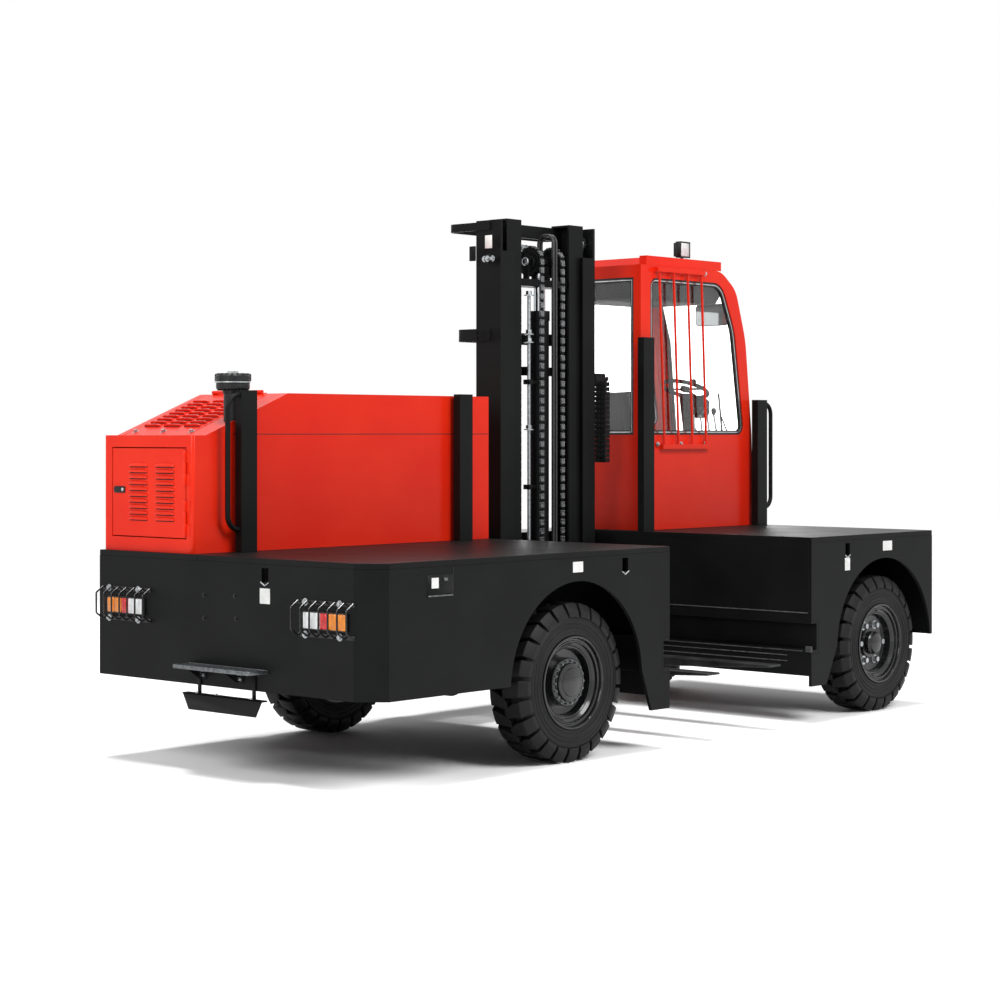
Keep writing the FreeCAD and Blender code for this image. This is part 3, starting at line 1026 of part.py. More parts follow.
# ---------------------------------------------------------------- fork carriage
FORK_X = (f"{MAST_X} - fork_bar_stand", f"({MAST_X} - fork_bar_stand + fork_bar)")
SIDE_IN = f"({INNER_IN} - side_gap - side_plate)"
carriage = [block("fork_tie", (FORK_X[1], f"{FORK_X[1]} + fork_tie"),
                  about(MAST_Y, f"({SIDE_IN} + side_plate)"),
                  ("fork_bar_low", "fork_bar_high + fork_bar_height"))]
for name, side in ENDS.items():
    carriage.append(block(f"carriage_side_{name}", (FORK_X[1], f"{MAST_X} + side_reach"),
                          beside(side, SIDE_IN, f"{SIDE_IN} + side_plate"), ("side_low", "side_high")))
    for height in ("carriage_roller_low", "carriage_roller_high"):
        carriage.append(bar(f"{height}_{name}", "y", (PIVOT[0], height),
                            "mast_depth / 2 - outer_flange - mast_gap - inner_flange - running_gap",
                            beside(side, f"{SIDE_IN} + side_plate / 2",
                                   f"{INNER_OUT} - inner_web - running_gap")))
for level in ("fork_bar_low", "fork_bar_high"):
    carriage.append(block(f"carriage_{level}", FORK_X, about(MAST_Y, "fork_bar_width / 2"),
                          (level, f"{level} + fork_bar_height")))
keep("fork_carriage", fuse("fork_carriage", *carriage))

forks = []
for name, side in ENDS.items():
    face = FORK_X[0]
    fork = plate(f"fork_{name}", "y", about(f"{MAST_Y} + {side} * fork_spread / 2", "fork_width / 2"), [
        (face, "fork_top - fork_thick"), (face, "fork_top + fork_heel"),
        (f"{face} - fork_shank", "fork_top + fork_heel"), (f"{face} - fork_thick", "fork_top"),
        (f"{face} - fork_length", "fork_top"), (f"{face} - fork_length", "fork_top - fork_tip"),
        (f"{face} - fork_length / 2", "fork_top - fork_thick")])
    forks.append(fork)
keep("forks", group("forks", *forks))

# the hose chain hangs beside the front upright in a loop
chain_y = (f"{MAST_Y} - {HALF} - hose_chain_far", f"{MAST_Y} - {HALF} - hose_chain_near")
chain_x = (f"{MAST_X} - hose_chain_side", f"{MAST_X} - hose_chain_side + hose_chain_width")
hose_loop = plate("hose_loop", "x", chain_x, [
    (chain_y[0], "hose_chain_low"), (f"{chain_y[0]} + hose_chain_thick", "hose_chain_low"),
    (f"{chain_y[0]} + hose_chain_thick", "hose_chain_top - hose_chain_thick"),
    (chain_y[1], "hose_chain_top - hose_chain_thick"), (chain_y[1], "hose_chain_top"),
    (chain_y[0], "hose_chain_top")])
soften(hose_loop, at_corners(hose_loop, 5), "hose_chain_round")
bracket = block("hose_bracket", chain_x, (chain_y[1], f"{MAST_Y} - {HALF}"),
                ("hose_chain_top - hose_chain_thick", "hose_chain_top"))
keep("hose_chain", fuse("hose_chain", hose_loop, bracket))

# ---------------------------------------------------------------- writing the files
doc.recompute()
for item in doc.Objects:
    if {"Invalid", "Error"} & set(item.State):
        raise RuntimeError(f"{item.Name} ({item.Label}) did not build: {item.State}")
os.makedirs("parts", exist_ok=True)
for piece in parts:
    if piece.Shape.isNull() or not piece.Shape.isValid():
        raise RuntimeError(f"{piece.Label} has no valid shape")
    piece.Shape.exportStep(f"parts/{piece.Label}.step")
print(len(parts), "files written")
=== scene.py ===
import math

import bmesh
import bpy
from mathutils import Euler, Matrix, Vector


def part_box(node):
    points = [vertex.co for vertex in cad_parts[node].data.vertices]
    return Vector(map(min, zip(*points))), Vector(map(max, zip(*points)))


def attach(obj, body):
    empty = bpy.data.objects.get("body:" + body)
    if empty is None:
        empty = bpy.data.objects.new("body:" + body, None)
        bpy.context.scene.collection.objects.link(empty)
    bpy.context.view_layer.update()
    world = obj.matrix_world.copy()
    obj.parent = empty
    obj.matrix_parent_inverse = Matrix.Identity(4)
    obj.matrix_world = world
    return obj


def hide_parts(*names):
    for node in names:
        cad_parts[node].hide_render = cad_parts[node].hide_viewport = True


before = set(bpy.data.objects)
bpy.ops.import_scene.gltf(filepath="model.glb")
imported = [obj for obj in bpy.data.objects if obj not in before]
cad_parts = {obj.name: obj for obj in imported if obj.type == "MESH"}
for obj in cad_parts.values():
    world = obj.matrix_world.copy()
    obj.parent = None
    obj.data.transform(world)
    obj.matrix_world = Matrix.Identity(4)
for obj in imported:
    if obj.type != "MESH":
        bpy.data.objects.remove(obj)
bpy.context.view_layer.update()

# ---------------------------------------------------------------- studio
# A plain pale floor with no edge in view and soft lamps overhead, as in a catalogue studio.
# The camera stands level behind the load side, so that upright edges stay upright.


def linear(code):
    """An sRGB hex colour as linear red, green, blue and alpha."""
    parts = [int(code[place:place + 2], 16) / 255 for place in (0, 2, 4)]
    return [part / 12.92 if part <= 0.04045 else ((part + 0.055) / 1.055) ** 2.4 for part in parts] + [1]


def add(tree, kind, inputs=None, **settings):
    """Adds a node to a tree; each input is a value or the output that it is linked to."""
    node = tree.nodes.new(kind)
    for name, value in settings.items():
        setattr(node, name, value)
    for socket, value in (inputs or {}).items():
        if isinstance(value, bpy.types.NodeSocket):
            tree.links.new(value, node.inputs[socket])
        else:
            node.inputs[socket].default_value = value
    return node


FLOOR_SIZE = 60
floor_mesh = bpy.data.meshes.new("floor")
corner = FLOOR_SIZE / 2
floor_corners = [(-corner, -corner, 0), (corner, -corner, 0), (corner, corner, 0), (-corner, corner, 0)]
floor_mesh.from_pydata(floor_corners, [], [(0, 1, 2, 3)])
floor = bpy.data.objects.new("floor", floor_mesh)
bpy.context.collection.objects.link(floor)

# the floor shows white wherever light falls on it, and keeps the truck's shadow; what it throws back on
# the truck is a plain matt white
screed = bpy.data.materials.new("white studio floor")
screed.use_nodes = True
tree = screed.node_tree
matt = tree.nodes["Principled BSDF"]
matt.inputs["Base Color"].default_value = linear("F2F2F2")
matt.inputs["Roughness"].default_value = 0.9
matt.inputs["Specular IOR Level"].default_value = 0.0
SEEN_WHITE = 1.27
shown = add(tree, "ShaderNodeBsdfDiffuse", {"Color": (SEEN_WHITE, SEEN_WHITE, SEEN_WHITE, 1)}).outputs[0]
rays = add(tree, "ShaderNodeLightPath").outputs
seen = add(tree, "ShaderNodeMath", {0: rays["Is Camera Ray"], 1: rays["Is Transmission Ray"]},
           operation="MAXIMUM")
finish = add(tree, "ShaderNodeMixShader", {0: seen.outputs[0], 1: matt.outputs[0], 2: shown}).outputs[0]
tree.links.new(finish, tree.nodes["Material Output"].inputs["Surface"])
floor_mesh.materials.append(screed)

world = bpy.data.worlds.new("studio")
bpy.context.scene.world = world
world.use_nodes = True
tree = world.node_tree
rays = add(tree, "ShaderNodeLightPath").outputs
background = tree.nodes["Background"]
background.inputs["Color"].default_value = linear("FFFFFF")
seen = add(tree, "ShaderNodeMath", {0: rays["Is Camera Ray"], 1: rays["Is Transmission Ray"]},
           operation="MAXIMUM")
shown = add(tree, "ShaderNodeMath", {0: seen.outputs[0], 1: rays["Is Glossy Ray"]}, operation="MAXIMUM")
AMBIENT = 0.20
strength = add(tree, "ShaderNodeMapRange", {"Value": shown.outputs[0], "To Min": AMBIENT, "To Max": 1.0})
tree.links.new(strength.outputs[0], background.inputs["Strength"])

LAMPS = {  # place, size and power of each soft lamp
    "load_side": ((-6.5, 0.5, 6.5), 4.0, 510),
    "rear": ((-0.5, 8.5, 5.5), 4.0, 330),
    "driver_side": ((6.5, -7.0, 3.5), 6.0, 260),
}
for name, (place, size, power) in LAMPS.items():
    lamp = bpy.data.lights.new(name, "AREA")
    lamp.size = size
    lamp.energy = power
    holder = bpy.data.objects.new(name, lamp)
    holder.location = place
    holder.rotation_euler = (Vector((0, 0, 1.2)) - Vector(place)).to_track_quat("-Z", "Y").to_euler()
    bpy.context.collection.objects.link(holder)
overhead = bpy.data.lights.new("overhead", "SUN")
overhead.angle = math.radians(13)
overhead.energy = 1.9
holder = bpy.data.objects.new("overhead", overhead)
holder.rotation_euler = Vector((-0.04, 0.0, -1)).to_track_quat("-Z", "Y").to_euler()
bpy.context.collection.objects.link(holder)

camera = bpy.data.cameras.new("camera")
camera.sensor_width = 36
camera.lens = 80.6
camera.shift_y = -0.067
camera.clip_end = 100
stand = bpy.data.objects.new("camera", camera)
stand.location = (-8.651, 10.0845, 1.749)
stand.rotation_euler = Vector((0.668, -0.744, 0)).to_track_quat("-Z", "Y").to_euler()
bpy.context.collection.objects.link(stand)
bpy.context.scene.camera = stand
bpy.context.scene.view_settings.view_transform = "Standard"

# ---------------------------------------------------------------- platforms, frame and skirts
# Folded and welded plate, sprayed in a satin black enamel that shows a faint grey dust in soft patches.
# The plate edges are dressed with a file before painting, so that each one catches a thin line of light.

SCENE = bpy.context.scene


def surface(name, dark, light, patch, rough, metallic=0.0, relief=0.0, grain=0.002, coat=0.0, shine=0.5):
    """A finish whose colour and gloss wander over patches of a real size, with a fine relief; metres."""
    material = bpy.data.materials.new(name)
    material.use_nodes = True
    tree = material.node_tree
    shader = tree.nodes["Principled BSDF"]
    shader.inputs["Metallic"].default_value = metallic
    shader.inputs["Specular IOR Level"].default_value = shine
    shader.inputs["Coat Weight"].default_value = coat
    shader.inputs["Coat Roughness"].default_value = 0.08
    place = add(tree, "ShaderNodeTexCoord").outputs["Object"]
    cloud = add(tree, "ShaderNodeTexNoise", {"Vector": place, "Scale": 1 / patch,
                                             "Detail": 5.0}).outputs["Fac"]
    spread = add(tree, "ShaderNodeMapRange", {"Value": cloud, "From Min": 0.3, "From Max": 0.7}).outputs[0]
    mixed = add(tree, "ShaderNodeMix", {0: spread, 6: linear(dark), 7: linear(light)}, data_type="RGBA")
    tree.links.new(mixed.outputs[2], shader.inputs["Base Color"])
    gloss = add(tree, "ShaderNodeMapRange", {"Value": cloud, "To Min": rough[0], "To Max": rough[1]})
    tree.links.new(gloss.outputs[0], shader.inputs["Roughness"])
    if relief:
        fine = add(tree, "ShaderNodeTexNoise", {"Vector": place, "Scale": 1 / grain,
                                                "Detail": 2.0}).outputs["Fac"]
        bump = add(tree, "ShaderNodeBump", {"Height": fine, "Strength": relief, "Distance": grain})
        tree.links.new(bump.outputs[0], shader.inputs["Normal"])
    return material


def paint(material, *nodes):
    """Gives CAD nodes that stay in view their real finish."""
    for name in nodes:
        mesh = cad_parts[name].data
        mesh.materials.clear()
        mesh.materials.append(material)


def settle(piece, body, material):
    """Links a finished piece, gives it its finish, and lets it ride on its body."""
    if piece.name not in SCENE.collection.objects:
        SCENE.collection.objects.link(piece)
    piece.data.materials.clear()
    piece.data.materials.append(material)
    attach(piece, body)
    return piece


def flatten(piece):
    """Applies a piece's modifiers, so that what is kept is a plain mesh."""
    SCENE.collection.objects.link(piece)
    evaluated = piece.evaluated_get(bpy.context.evaluated_depsgraph_get())
    mesh = bpy.data.meshes.new_from_object(evaluated)
    piece.modifiers.clear()
    piece.data = mesh
    mesh.name = piece.name
    return piece


def dressed(node, edge, material, body="root"):
    """A CAD node's own shape with its sharp edges rounded as a welder dresses them."""
    source = bmesh.new()
    source.from_mesh(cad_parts[node].data)
    bmesh.ops.remove_doubles(source, verts=source.verts, dist=1e-5)
    bmesh.ops.dissolve_limit(source, angle_limit=math.radians(0.5), verts=source.verts, edges=source.edges)
    mesh = bpy.data.meshes.new(node + "_dressed")
    source.to_mesh(mesh)
    source.free()
    piece = bpy.data.objects.new(node + "_dressed", mesh)
    rounding = piece.modifiers.new("rounding", "BEVEL")
    rounding.width = edge
    rounding.segments = 2
    rounding.limit_method = "ANGLE"
    rounding.angle_limit = math.radians(40)
    rounding.harden_normals = True
    flatten(piece)
    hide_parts(node)
    return settle(piece, body, material)


# satin enamel over plate: broad soft reflections, slightly greyer where dust has settled
black_enamel = surface("satin black enamel", "0B0C0C", "131414", 0.35, (0.36, 0.52), relief=0.08, grain=0.004,
                       shine=0.11)
PLATE_EDGE = 0.003
for node in ("rear_deck", "front_deck", "rear_skirts", "front_skirts", "rear_frame", "front_frame",
             "rear_plate",
             "front_plate", "spine_beam"):
    dressed(node, PLATE_EDGE, black_enamel)

# ---------------------------------------------------------------- hood and cab panels
# Pressed and welded sheet in a gloss orange-red two-pack enamel, with the slight ripple of sprayed paint.

red_enamel = surface("gloss red enamel", "DD200C", "E72E13", 0.6, (0.26, 0.36), relief=0.03, grain=0.006,
                     coat=0.05,
                     shine=0.18)
for node in ("hood_shell", "cab_shell"):
    dressed(node, PLATE_EDGE, red_enamel)
dressed("access_door", PLATE_EDGE, red_enamel, "rear_access")
dressed("louvre_lid", PLATE_EDGE, red_enamel, "louvre_cover")
dressed("cab_door", PLATE_EDGE, red_enamel, "cab_entry")
dressed("roof_slats", 0.0015, red_enamel)
dressed("window_guard", 0.0015, red_enamel)

# ---------------------------------------------------------------- lamps and their guards
# Two clusters of five lenses on the rear face, outside to inside amber, amber, red, clear, clear, each
# in a black moulded tray, and two round head lamps in front. Bent wire guards are bolted over the rear ones.


def join(*shapes):
    """Several (points, faces) shapes as one."""
    points, faces = [], []
    for more, rings in shapes:
        start = len(points)
        points += [Vector(point) for point in more]
        faces += [[start + corner for corner in ring] for ring in rings]
    return points, faces


def turned_to(shape, place, along=(0, 0, 1), roll=0.0):
    """A shape made along Z from the origin, turned to another direction and moved to its place."""
    turn = Vector(along).to_track_quat("Z", "Y").to_matrix() @ Matrix.Rotation(roll, 3, "Z")
    return [turn @ Vector(point) + Vector(place) for point in shape[0]], shape[1]


def block(low, high):
    """A rectangular block between two corners."""
    spans = list(zip(low, high))
    points = [(x, y, z) for x in spans[0] for y in spans[1] for z in spans[2]]
    return points, [(0, 1, 3, 2), (4, 6, 7, 5), (0, 4, 5, 1), (2, 3, 7, 6), (0, 2, 6, 4), (1, 5, 7, 3)]


def prism(outline, axis, low, high):
    """An outline in the other two axes, carried along an axis from low to high."""
    def place(pair, along):
        corner = list(pair)
        corner.insert("xyz".index(axis), along)
        return corner

    count = len(outline)
    points = [place(pair, low) for pair in outline] + [place(pair, high) for pair in outline]
    faces = [list(range(count)), list(range(2 * count - 1, count - 1, -1))]
    return points, faces + [(i, i + count, (i + 1) % count + count, (i + 1) % count) for i in range(count)]


def lathe(profile, sides=32):
    """A closed profile of (radius, height) pairs turned about Z; a radius of 0 ends it on the axis."""
    points, faces, rings = [], [], []
    for radius, height in profile:
        count = sides if radius else 1
        rings.append(range(len(points), len(points) + count))
        points += [(radius * math.cos(2 * math.pi * turn / sides),
                    radius * math.sin(2 * math.pi * turn / sides), height)
                   for turn in range(count)]
    closed = profile[0][0] and profile[-1][0]
    for first, second in zip(rings, rings[1:] + ([rings[0]] if closed else [])):
        for turn in range(sides):
            after = (turn + 1) % sides
            ring = [first[turn % len(first)], first[after % len(first)], second[after % len(second)],
                    second[turn % len(second)]]
            ring = list(dict.fromkeys(ring))
            if len(ring) > 2:
                faces.append(ring)
    return points, faces


def tube(route, radius, sides=10, closed=False):
    """A round bar along a route of points."""
    route = [Vector(point) for point in route]
    count = len(route)
    points, faces = [], []
    side = None
    for number, point in enumerate(route):
        before = route[(number - 1) % count] if closed or number else point
        after = route[(number + 1) % count] if closed or number < count - 1 else point
        ahead = (after - before).normalized()
        if side is None:
            side = ahead.orthogonal().normalized()
        side = (side - ahead * side.dot(ahead)).normalized()
        other = ahead.cross(side)
        bend = 1.0
        if before != point and after != point:
            bend = 1 / max(0.5, math.cos((point - before).angle(after - point) / 2))
        for turn in range(sides):
            angle = 2 * math.pi * turn / sides
            points.append(point + (side * math.cos(angle) + other * math.sin(angle)) * radius * min(bend,
                                                                                                    1.2))
    for number in range(count if closed else count - 1):
        here, there = number * sides, (number + 1) % count * sides
        faces += [(here + turn, here + (turn + 1) % sides, there + (turn + 1) % sides, there + turn)
                  for turn in range(sides)]
    if not closed:
        faces += [list(range(sides))[::-1], list(range((count - 1) * sides, count * sides))]
    return points, faces


def rounded(corners, radius, steps=5, closed=False):
    """A route with its corners rounded to a radius."""
    corners = [Vector(corner) for corner in corners]
    count = len(corners)
    route = []
    for number, corner in enumerate(corners):
        if not closed and number in (0, count - 1):
            route.append(corner)
            continue
        into, out = corners[number - 1] - corner, corners[(number + 1) % count] - corner
        turn = math.pi - into.angle(out)
        reach = min(radius * math.tan(turn / 2), into.length * 0.49, out.length * 0.49)
        start, end = corner + into.normalized() * reach, corner + out.normalized() * reach
        for step in range(steps + 1):
            share = step / steps
            route.append(start.lerp(corner, share).lerp(corner.lerp(end, share), share))
    return route


def make(name, shapes, material, body, edge=0.0, smooth=35, stands_for=()):
    """A piece from joined shapes, with rounded edges and smooth round faces."""
    mesh = bpy.data.meshes.new(name)
    points, faces = join(*shapes)
    mesh.from_pydata(points, [], faces)
    solid = bmesh.new()
    solid.from_mesh(mesh)
    bmesh.ops.recalc_face_normals(solid, faces=solid.faces)
    solid.to_mesh(mesh)
    solid.free()
    piece = bpy.data.objects.new(name, mesh)
    if edge:
        rounding = piece.modifiers.new("rounding", "BEVEL")
        rounding.width = edge
        rounding.segments = 2
        rounding.limit_method = "ANGLE"
        rounding.angle_limit = math.radians(40)
        rounding.harden_normals = True
        mesh.shade_smooth()
    flatten(piece)
    if smooth:
        piece.data.shade_smooth()
        piece.data.set_sharp_from_angle(angle=math.radians(smooth))
    if stands_for:
        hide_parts(*stands_for)
    return settle(piece, body, material)


# moulded ABS and zinc-plated fasteners are used all over the truck
black_abs = surface("moulded black ABS", "101112", "1A1B1C", 0.05, (0.35, 0.5), relief=0.25, grain=0.0015,
                    shine=0.3)
zinc = surface("zinc-plated steel", "9FA3A6", "C9CCCD", 0.02, (0.22, 0.38), metallic=1.0)


def lens(name, colour, glow):
    """Clear or tinted acrylic over prisms: deep colour with a hard wet shine."""
    return surface(name, colour, glow, 0.03, (0.08, 0.14), relief=0.4, grain=0.004, coat=0.5)


# turn, stop and reversing lenses: strong clear colour over fine prisms
amber_lens = lens("amber acrylic", "E07A08", "F89414")
red_lens = lens("red acrylic", "C40A12", "E21A1C")
clear_lens = lens("clear acrylic", "D9DCDD", "F4F6F7")

REAR_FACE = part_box("rear_plate")[1].y
LENS_LOW, LENS_HIGH = 0.790, 0.870
LENS_WIDTH, LENS_PITCH, LENS_DEPTH = 0.055, 0.060, 0.022
LEFT_SIDE = 1.045
CLUSTERS = {  # the outer edge of each cluster along X and the way to the truck's middle
    "left": (LEFT_SIDE - 0.086, -1),
    "right": (LEFT_SIDE - 1.621 - 5 * LENS_PITCH, 1),
}
lenses = {"amber": [], "red": [], "clear": []}
trays = []
for outer, inward in CLUSTERS.values():
    for number, colour in enumerate(("amber", "amber", "red", "clear", "clear")):
        middle = outer + inward * (number + 0.5) * LENS_PITCH
        low = (middle - LENS_WIDTH / 2, REAR_FACE + 0.006, LENS_LOW)
        lenses[colour].append(block(low, (middle + LENS_WIDTH / 2, REAR_FACE + LENS_DEPTH, LENS_HIGH)))
    ends = sorted((outer, outer + inward * 5 * LENS_PITCH))
    trays.append(block((ends[0] - 0.004, REAR_FACE + 0.0005, LENS_LOW - 0.006),
                       (ends[1] + 0.004, REAR_FACE + 0.012, LENS_HIGH + 0.006)))
FRONT_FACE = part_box("front_plate")[0].y
HEAD_LAMPS = [(side * 0.895, FRONT_FACE, 0.83) for side in (-1, 1)]
head_rings, head_glass = [], []
for place in HEAD_LAMPS:
    head_rings.append(turned_to(lathe([(0.050, 0.001), (0.060, 0.001), (0.060, 0.018), (0.052, 0.022),
                                       (0.048, 0.016)]),
                                place, (0, -1, 0)))
    head_glass.append(turned_to(lathe([(0, 0.002), (0.049, 0.002), (0.049, 0.012), (0.030, 0.019),
                                       (0, 0.022)]),
                                place, (0, -1, 0)))
make("lamp_trays", trays + head_rings, black_abs, "root", edge=0.002, stands_for=("lamps",))
for colour, finish in (("amber", amber_lens), ("red", red_lens)):
    make(f"{colour}_lenses", lenses[colour], finish, "root", edge=0.008)
make("clear_lenses", lenses["clear"] + head_glass, clear_lens, "root", edge=0.008)

# each guard is seven bowed wires welded to two flat straps, and each strap has two bolts
GUARD_WIRE, GUARD_WIRES, STRAP_HALF = 0.005, 7, 0.011
guard_low, guard_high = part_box("lamp_guards")
GUARD_SPAN, GUARD_BOLTS, GUARD_BEND = 0.390, (0.097, 0.341), 0.036
guard_front = guard_high.y - GUARD_WIRE
guards, guard_bolts = [], []
for start in (guard_low.x + GUARD_WIRE, guard_high.x - GUARD_WIRE - GUARD_SPAN):
    for level in (guard_low.z + STRAP_HALF, guard_high.z - STRAP_HALF):
        guards.append(block((start - GUARD_WIRE, REAR_FACE + 0.0005, level - STRAP_HALF),
                            (start + GUARD_SPAN + GUARD_WIRE, REAR_FACE + 0.0045, level + STRAP_HALF)))
        guard_bolts += [(start + place, REAR_FACE + 0.0045, level) for place in GUARD_BOLTS]
    for number in range(GUARD_WIRES):
        across = start + GUARD_SPAN * number / (GUARD_WIRES - 1)
        guards.append(tube(rounded(
            [(across, REAR_FACE + 0.008, guard_high.z - GUARD_WIRE),
             (across, guard_front, guard_high.z - GUARD_BEND),
             (across, guard_front, guard_low.z + GUARD_BEND),
             (across, REAR_FACE + 0.008, guard_low.z + GUARD_WIRE)],
            0.012, 3), GUARD_WIRE, 8))
# dipped wire: black with a thin wet highlight along each bar
wire_enamel = surface("gloss enamelled wire", "0C0C0D", "151516", 0.05, (0.16, 0.26), relief=0.1, grain=0.003,
                      shine=0.5)
make("guard_wires", guards, wire_enamel, "root", stands_for=("lamp_guards",))


# one tree lays out hexagon bolts with their washers wherever a section needs them
def socket(tree, name, kind, default=None):
    """A named input of a tree."""
    made = tree.interface.new_socket(name, in_out="INPUT", socket_type=kind)
    if default is not None:
        made.default_value = default
    return made


def identifier(tree, name):
    """The identifier of a tree's named input."""
    return next(item.identifier for item in tree.interface.items_tree
                if item.item_type == "SOCKET" and item.in_out == "INPUT" and item.name == name)


bolt_tree = bpy.data.node_groups.new("bolts", "GeometryNodeTree")
socket(bolt_tree, "Places", "NodeSocketGeometry")
socket(bolt_tree, "Head width", "NodeSocketFloat", 0.016)
socket(bolt_tree, "Head height", "NodeSocketFloat", 0.008)
socket(bolt_tree, "Finish", "NodeSocketMaterial")
bolt_tree.interface.new_socket("Bolts", in_out="OUTPUT", socket_type="NodeSocketGeometry")
given = add(bolt_tree, "NodeGroupInput").outputs
half = add(bolt_tree, "ShaderNodeMath", {0: given["Head width"], 1: 0.58}, operation="MULTIPLY").outputs[0]
wide = add(bolt_tree, "ShaderNodeMath", {0: given["Head width"], 1: 0.95}, operation="MULTIPLY").outputs[0]
thin = add(bolt_tree, "ShaderNodeMath", {0: given["Head height"], 1: 0.3}, operation="MULTIPLY").outputs[0]
head = add(bolt_tree, "GeometryNodeMeshCylinder", {"Vertices": 6, "Radius": half,
                                                   "Depth": given["Head height"]})
washer = add(bolt_tree, "GeometryNodeMeshCylinder", {"Vertices": 20, "Radius": wide, "Depth": thin})
rise = add(bolt_tree, "ShaderNodeMath", {0: given["Head height"], 1: 0.75}, operation="MULTIPLY").outputs[0]
up = add(bolt_tree, "ShaderNodeCombineXYZ", {"Z": rise}).outputs[0]
lifted = add(bolt_tree, "GeometryNodeTransform", {"Geometry": head.outputs["Mesh"], "Translation": up})
both = add(bolt_tree, "GeometryNodeJoinGeometry", {"Geometry": lifted.outputs[0]})
bolt_tree.links.new(washer.outputs["Mesh"], both.inputs["Geometry"])
facing = add(bolt_tree, "GeometryNodeInputNamedAttribute", {"Name": "facing"},
             data_type="FLOAT_VECTOR").outputs[0]
turn = add(bolt_tree, "FunctionNodeAlignRotationToVector", {"Vector": facing}, axis="Z").outputs[0]
placed = add(bolt_tree, "GeometryNodeInstanceOnPoints",
             {"Points": given["Places"], "Instance": both.outputs[0], "Rotation": turn})
real = add(bolt_tree, "GeometryNodeRealizeInstances", {0: placed.outputs[0]})
painted = add(bolt_tree, "GeometryNodeSetMaterial", {"Geometry": real.outputs[0],
                                                     "Material": given["Finish"]})
out = add(bolt_tree, "NodeGroupOutput")
bolt_tree.links.new(painted.outputs[0], out.inputs[0])


def bolts(name, places, material, body, width=0.016, height=0.008):
    """Bolts at (place, facing) pairs."""
    mesh = bpy.data.meshes.new(name)
    mesh.from_pydata([place for place, facing in places], [], [])
    ways = mesh.attributes.new("facing", "FLOAT_VECTOR", "POINT")
    for item, (place, way) in zip(ways.data, places):
        item.vector = way
    piece = bpy.data.objects.new(name, mesh)
    layer = piece.modifiers.new("bolts", "NODES")
    layer.node_group = bolt_tree
    for title, value in (("Head width", width), ("Head height", height), ("Finish", material)):
        layer[identifier(bolt_tree, title)] = value
    flatten(piece)
    return settle(piece, body, material)


bolts("guard_bolts", [(place, (0, 1, 0)) for place in guard_bolts], zinc, "root", width=0.020,
      height=0.010)

# ---------------------------------------------------------------- steps below the rear face
# The upper tread is galvanised punched grating in a frame with its ends cut askew, bolted on two black
# brackets. The lower one is a narrow tray with a deep front flange, hung on two welded straps.

tread_steel = surface("punched safety grating", "4C4F51", "7E8284", 0.015, (0.3, 0.45), metallic=0.8)
step_low, step_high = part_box("rear_steps")
UPPER_TOP, LOWER_TOP, UPPER_DEEP, LOWER_REACH, TRAY_SKIN = step_high.z, 0.410, 0.020, 0.040, 0.008
STEP_TAPER, FLANGE_TAPER, STEP_SKIN = 0.020, 0.048, 0.004
tread_outline = [(step_low.x, step_low.y), (step_high.x, step_low.y), (step_high.x - STEP_TAPER, step_high.y),
                 (step_low.x + STEP_TAPER, step_high.y)]
tread_frame = []
for here, there in zip(tread_outline, tread_outline[1:] + tread_outline[:1]):
    run = (Vector(there) - Vector(here)).normalized()
    inward = Vector((-run.y, run.x)) * STEP_SKIN
    tread_frame.append(prism([here, there, tuple(Vector(there) + inward), tuple(Vector(here) + inward)], "z",
                             UPPER_TOP - UPPER_DEEP, UPPER_TOP))
make("upper_step_frame", tread_frame, tread_steel, "root", edge=0.0008)
STEP_MIDDLE = (step_low.x + step_high.x) / 2
BRACKETS = (STEP_MIDDLE + 0.190, STEP_MIDDLE - 0.094)
hangers = [prism([(step_low.y, UPPER_TOP - 0.075), (step_low.y, UPPER_TOP - UPPER_DEEP),
                  (step_high.y - 0.012, UPPER_TOP - UPPER_DEEP), (step_low.y + 0.025, UPPER_TOP - 0.075)],
                 "x", x - 0.003, x + 0.003) for x in BRACKETS]
hangers += [block((x - 0.030, step_low.y, UPPER_TOP - 0.080),
                  (x + 0.030, step_low.y + 0.004, UPPER_TOP - UPPER_DEEP))
            for x in BRACKETS]
STRAPS = (step_low.x + 0.096, step_high.x - 0.096)
hangers += [block((x - 0.012, step_low.y, LOWER_TOP - 0.004),
                  (x + 0.012, step_low.y + 0.008, UPPER_TOP - UPPER_DEEP))
            for x in STRAPS]
tray_front = step_low.y + LOWER_REACH
hangers += [block((step_low.x, step_low.y, LOWER_TOP - TRAY_SKIN), (step_high.x, tray_front, LOWER_TOP)),
            prism([(step_low.x, LOWER_TOP), (step_high.x, LOWER_TOP),
                   (step_high.x - FLANGE_TAPER, step_low.z),
                   (step_low.x + FLANGE_TAPER, step_low.z)], "y", tray_front - TRAY_SKIN, tray_front)]
make("step_hangers", hangers, black_enamel, "root", edge=0.002, stands_for=("rear_steps",))
bolts("step_bolts", [((x, step_low.y + 0.004, UPPER_TOP - drop),
                      (0, 1, 0)) for x in BRACKETS for drop in (0.030, 0.056)],
      zinc, "root", width=0.020, height=0.010)
bolts("tray_bolts", [((x, tray_front - 0.020, LOWER_TOP), (0, 0, 1)) for x in (STRAPS[0], 0.064, STRAPS[1])],
      zinc, "root", width=0.012, height=0.006)

